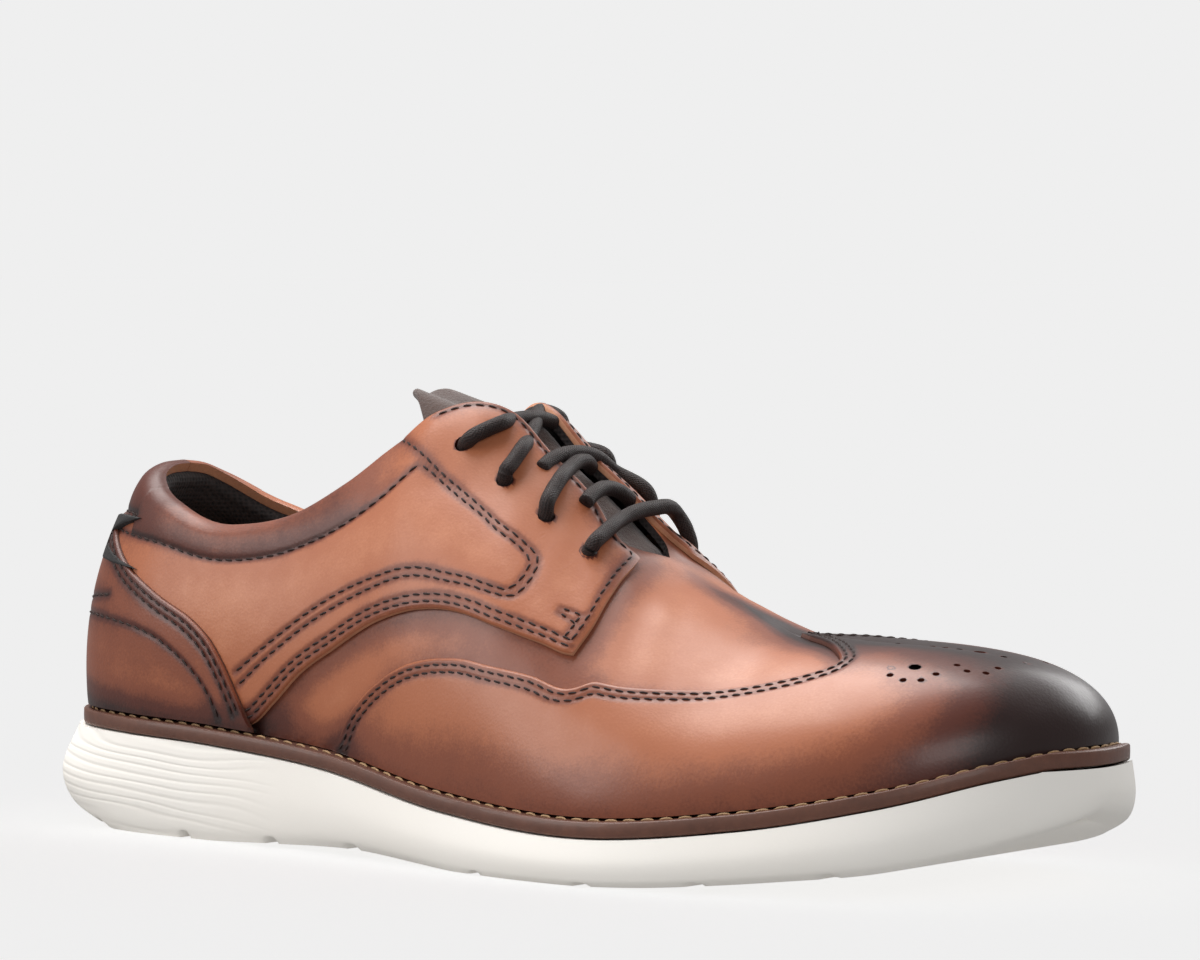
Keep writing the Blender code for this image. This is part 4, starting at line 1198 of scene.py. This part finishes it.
def makeInsole():
    size = insoleSettings
    low, high = shoe["clearance"], shoe["clearance"] + size["thickness"]
    grow = -(shoe["wall"] + size["gap"])

    def rim(a, b):
        return deckPoint(2 * a, grow, low + (high - low) * b)

    caps = [spread(lambda u, lift=lift: deckPoint(u, grow, lift)) for lift in (low, high)]
    mesh = gridMesh([(120, 16, caps[0]), (120, 16, caps[1]), (240, 2, rim)])
    addPiece("insole", mesh, ["insole"], ["insole"])


soleSettings = {"columns": 260, "sideRows": 30, "across": 30, "groove": 0.0018, "halfWidth": 0.0013,
                "grooves": (0.095, 0.205, 0.305, 0.400, 0.555, 0.665, 0.760, 0.860)}


def makeOutsole():
    size = soleSettings
    seat = -(shoe["weltSeat"] + shoe["clearance"])
    under = -shoe["weltThickness"] - shoe["clearance"]

    def tread(points, low):
        for place in size["grooves"]:
            away = np.abs(points[:, 0] - place * shoe["soleLength"])
            points[:, 2] += size["groove"] * (1 - ease(0.6, 1.4, away / size["halfWidth"])) * low
        return points

    def side(a, b):
        return tread(soleSide(2 * a, 3 * b), 1 - ease(0.0, 0.8, 3 * b))

    def bottom(a, b):
        return tread(spread(lambda u: soleSide(u, 0))(a, b), 1.0)

    def lip(a, b):
        return soleSide(2 * a, 3) * (1 - b)[:, None] + deckPoint(2 * a, seat, under) * b[:, None]

    def core(a, b):
        return deckPoint(2 * a, seat, under * (1 - b))

    ring = 2 * size["columns"]
    top = spread(lambda u: deckPoint(u, seat, 0.0))
    mesh = gridMesh([(ring, size["sideRows"], side), (size["columns"], size["across"], bottom),
                     (ring, 2, lip), (ring, 1, core), (size["columns"], 8, top)])
    addPiece("outsole", mesh, ["sole"], ["outsole"])


laceSettings = {"radius": 0.0019, "rings": 120, "sides": 16, "stand": 0.0040, "depth": -0.0045,
                "hole": 0.0005}

# Laces as seen: the near eyelet, pixels on the near facing, then pixels with metres across the shoe
photoLaces = [
    (0, [(472, 437), (485, 430), (499, 424)],
     [(512, 420, -0.008), (529, 418, -0.001), (547, 420, 0.006), (564, 430, 0.012), (573, 444, 0.016)], 1),
    (1, [(506, 471), (512, 463), (521, 450)],
     [(528, 440, -0.008), (533, 429, -0.003), (537, 417, 0.005), (541, 411, 0.011)], 0),
    (2, [(547, 503), (552, 492), (560, 479)],
     [(568, 470, -0.007), (577, 462, -0.001), (586, 461, 0.004), (593, 470, 0.009)], None),
    (None, [], [(540, 470, -0.014), (551, 460, -0.009), (565, 454, -0.003), (583, 453, 0.004),
                (598, 458, 0.010), (612, 470, 0.015)], 2),
    (None, [], [(585, 503, -0.013), (594, 493, -0.008), (605, 488, -0.002), (619, 491, 0.004),
                (630, 500, 0.009), (640, 513, 0.013)], None),
    (3, [(594, 543), (602, 535), (611, 527)],
     [(620, 520, -0.008), (636, 512, -0.001), (654, 508, 0.006), (669, 507, 0.012), (676, 513, 0.016)], 3),
]


def lacePath(nearHole, onFacing, overThroat, farHole):
    size = laceSettings
    stops = []
    if nearHole is not None:
        stops += [onLast(*eyelets[nearHole], out) for out in (size["depth"], size["hole"])]
    if onFacing:
        stops += list(linePoints(fromPhoto(onFacing, size["stand"]), size["stand"]))
    stops += [fromPixel(pixel[:2], pixel[2]) for pixel in overThroat]
    if farHole is not None:
        column, girth = eyelets[farHole]
        for lift, out in ((0.06, size["stand"]), (0.0, size["hole"]), (0.0, size["depth"])):
            stops.append(onLast(2 - column, girth + lift, out))
    run = runAlong(np.array(stops))
    at = np.linspace(0, run[-1], size["rings"] + 1)
    return smoothRows(run, stops, at), at


def makeLaces():
    size = laceSettings
    bm = bmesh.new()
    uvLayer = bm.loops.layers.uv.new("UVMap")
    length = 0.0
    for way in photoLaces:
        path, at = lacePath(*way)
        length += at[-1]
        along = unit(np.gradient(path, axis=0))
        aside = unit(np.cross(along, np.array([0.5, 0.0, 0.86])))
        above = np.cross(aside, along)
        made = bmesh.ops.create_grid(bm, x_segments=size["rings"], y_segments=size["sides"],
                                     size=0.5)["verts"]
        for face in {face for vert in made for face in vert.link_faces}:
            for loop in face.loops:
                a, b = loop.vert.co.x + 0.5, loop.vert.co.y + 0.5
                loop[uvLayer].uv = (a * at[-1], b * 2 * math.pi * size["radius"])
        shares = np.array([vert.co for vert in made]) + 0.5
        ring = np.round(shares[:, 0] * size["rings"]).astype(int)
        turn = 2 * np.pi * shares[:, 1]
        end = np.minimum(ring, size["rings"] - ring) / 3
        radius = size["radius"] * np.sqrt(np.clip(1 - (1 - np.minimum(end, 1)) ** 2, 0, 1))
        sideways = aside[ring] * np.cos(turn)[:, None] + above[ring] * np.sin(turn)[:, None]
        for vert, point in zip(made, path[ring] + sideways * radius[:, None] + shoeShift):
            vert.co = point
        bmesh.ops.remove_doubles(bm, verts=made, dist=fineWeld)
    addPiece("laces", toMesh(bm, "laces"), ["lace"], ["laces"])
    print("lace length shown", round(length, 3))


# The side tab's corners in the photograph, by its top edge first
tabSettings = {"columns": 16, "rows": 40, "inside": 0.0012, "outside": 0.0036,
               "corners": [(139, 517), (152, 526), (121, 559), (132, 568)]}


def makeSideTab():
    size = tabSettings
    topBack, topFront, lowBack, lowFront = fromPhoto(size["corners"], size["outside"])

    def place(a, b, layer):
        across, up = a[:, None], b[:, None]
        way = (lowBack * (1 - across) + lowFront * across) * (1 - up)
        u, v = (way + (topBack * (1 - across) + topFront * across) * up).T
        fall = edgeFall(a, b, size, ("low", "high", "front", "back"), 0.0004)
        return onLast(u, v, np.where(layer < 0.5, size["inside"], size["outside"] - fall)), u, v

    addPiece("sideTab", layeredSheet(size, place), ["tape"] * 3, ["side_tab"])


stitchSize = {"sink": 0.00016, "share": 0.80, "thread": 0.00052}


def stitchMesh(rows):
    # rows are (starts, ends, normals, thread radius): each stitch is a short bowed capsule
    rings, sides = 6, 6
    starts, ends, normals = (np.concatenate([row[k] for row in rows]) for k in range(3))
    radii = np.concatenate([np.full(len(row[0]), row[3]) for row in rows])
    steps = len(starts) * (rings + 1) - 1
    bm = bmesh.new()
    bmesh.ops.create_grid(bm, x_segments=steps, y_segments=sides, size=0.5)
    shares = np.array([vert.co for vert in bm.verts]) + 0.5
    index = np.round(shares[:, 0] * steps).astype(int)
    stitch, ring = index // (rings + 1), index % (rings + 1)
    owner = {vert: number for vert, number in zip(bm.verts, stitch)}
    links = [face for face in bm.faces if len({owner[vert] for vert in face.verts}) > 1]
    t = ring / rings
    turn = 2 * np.pi * shares[:, 1]
    normal = normals[stitch]
    aside = unit(np.cross(unit(ends - starts)[stitch], normal))
    bow = np.sin(np.pi * t) * 0.9 - 0.35
    radius = radii[stitch] * np.sqrt(np.clip(1 - (2 * t - 1) ** 4, 0, 1))
    points = starts[stitch] * (1 - t)[:, None] + ends[stitch] * t[:, None]
    points += normal * (bow * radii[stitch])[:, None]
    points += (aside * np.cos(turn)[:, None] + normal * np.sin(turn)[:, None]) * radius[:, None]
    for vert, point in zip(bm.verts, points + shoeShift):
        vert.co = point
    bmesh.ops.delete(bm, geom=links, context="FACES")
    bmesh.ops.remove_doubles(bm, verts=bm.verts, dist=fineWeld)
    return toMesh(bm, "stitches")


def evenStitches(points, normals, pitch, length, thread, slant=0.12):
    run = runAlong(points)
    count = max(int(run[-1] / pitch), 1)
    centres = (np.arange(count) + 0.5) * run[-1] / count

    def at(where, values):
        return np.stack([np.interp(where, run, values[:, k]) for k in range(3)], 1)

    starts, ends = at(centres - length / 2, points), at(centres + length / 2, points)
    normal = unit(at(centres, normals))
    aside = unit(np.cross(unit(ends - starts), normal)) * slant * length
    return starts - aside / 2, ends + aside / 2, normal, thread / 2


def makeStitches():
    size = stitchSize
    for panel, slot in panelSlots.items():
        rows = [evenStitches(seam["settled"] - seam["ups"] * size["sink"], seam["ups"], seam["pitch"],
                             seam["pitch"] * size["share"], size["thread"])
                for seam in seams if seam["panel"] == panel]
        addPiece(panel + "Stitches", stitchMesh(rows), ["darkThread"])
    size = weltSettings
    points = deckPoint(np.linspace(0, 2, 1200), size["seamReach"], 0.00005)
    rows = [evenStitches(points, np.tile([0.0, 0.0, 1.0], (1200, 1)), size["pitch"], size["stitch"],
                         size["thread"], 0.10)]
    addPiece("weltStitches", stitchMesh(rows), ["weltThread"])


def toCamera(tree, bright, plain):
    # one value for what the camera sees, and another for the light on the shoe
    seen = addNode(tree, "ShaderNodeLightPath").outputs["Is Camera Ray"]
    return weighted(tree, plain, [(seen, bright - plain)])


lightSettings = {
    "backdrop": 0.863, "sky": 0.30, "floor": 0.62, "glow": 0.22,
    "areas": [
        ("overhead", (-0.45, 0.10, 1.25), (1.3, 0.8), 23, (1.0, 0.985, 0.97)),
        ("frontLeft", (-1.3, -1.5, 0.95), (1.2, 1.2), 21, (1.0, 0.99, 0.98)),
        ("frontRight", (1.5, -1.1, 0.7), (0.9, 0.9), 9, (1.0, 1.0, 1.0)),
        ("behind", (0.2, 1.5, 0.9), (1.2, 0.8), 12, (1.0, 1.0, 1.0)),
    ],
}


def makeStudio():
    scene = bpy.context.scene
    scene.view_settings.view_transform = "Standard"
    bm = bmesh.new()
    bmesh.ops.create_grid(bm, x_segments=2, y_segments=2, size=30)
    mesh = toMesh(bm, "floor")
    floor = bpy.data.objects.new("floor", mesh)
    scene.collection.objects.link(floor)
    # the camera sees one even pale tone, while the shoe gets a dimmer sky
    backdrop, sky, albedo, glow = (lightSettings[key] for key in ("backdrop", "sky", "floor", "glow"))
    material, tree, shader = newMaterial("paleFloor", Roughness=0.9, Specular_IOR_Level=0.0,
                                         Base_Color=(albedo, albedo, albedo, 1), Emission_Color=(1, 1, 1, 1))
    feed(tree, shader.inputs, {"Emission Strength": toCamera(tree, backdrop - albedo * sky, glow)})
    mesh.materials.append(material)
    world = bpy.data.worlds.new("studio")
    world.use_nodes = True
    tree = world.node_tree
    feed(tree, tree.nodes["Background"].inputs,
         {"Strength": toCamera(tree, backdrop, sky), "Color": (1, 1, 1, 1)})
    scene.world = world
    lit = bpy.data.collections.new("litPieces")
    for name, place, size, power, colour in lightSettings["areas"]:
        data = bpy.data.lights.new(name, "AREA")
        data.shape = "RECTANGLE"
        data.size, data.size_y = size
        data.energy = power
        data.color = colour
        lamp = bpy.data.objects.new(name, data)
        scene.collection.objects.link(lamp)
        lamp.location = place
        lamp.rotation_euler = (Vector((0, 0, 0.04)) - Vector(place)).to_track_quat("-Z", "Y").to_euler()
        lamp.light_linking.receiver_collection = lit
    return lit


makeCamera()
litPieces = makeStudio()
print("studio ready")
makeVamp()
makeWingCap()
makeQuarter("quarterOuter", -1, "quarter_outer")
makeQuarter("quarterInner", 1, "quarter_inner")
makeCounter()
makeTongue()
makeWelt()
makeInsole()
makeOutsole()
makeLaces()
makeSideTab()
makeStitches()
for piece in bpy.context.scene.objects:
    if piece.type == "MESH" and piece.name != "floor":
        litPieces.objects.link(piece)
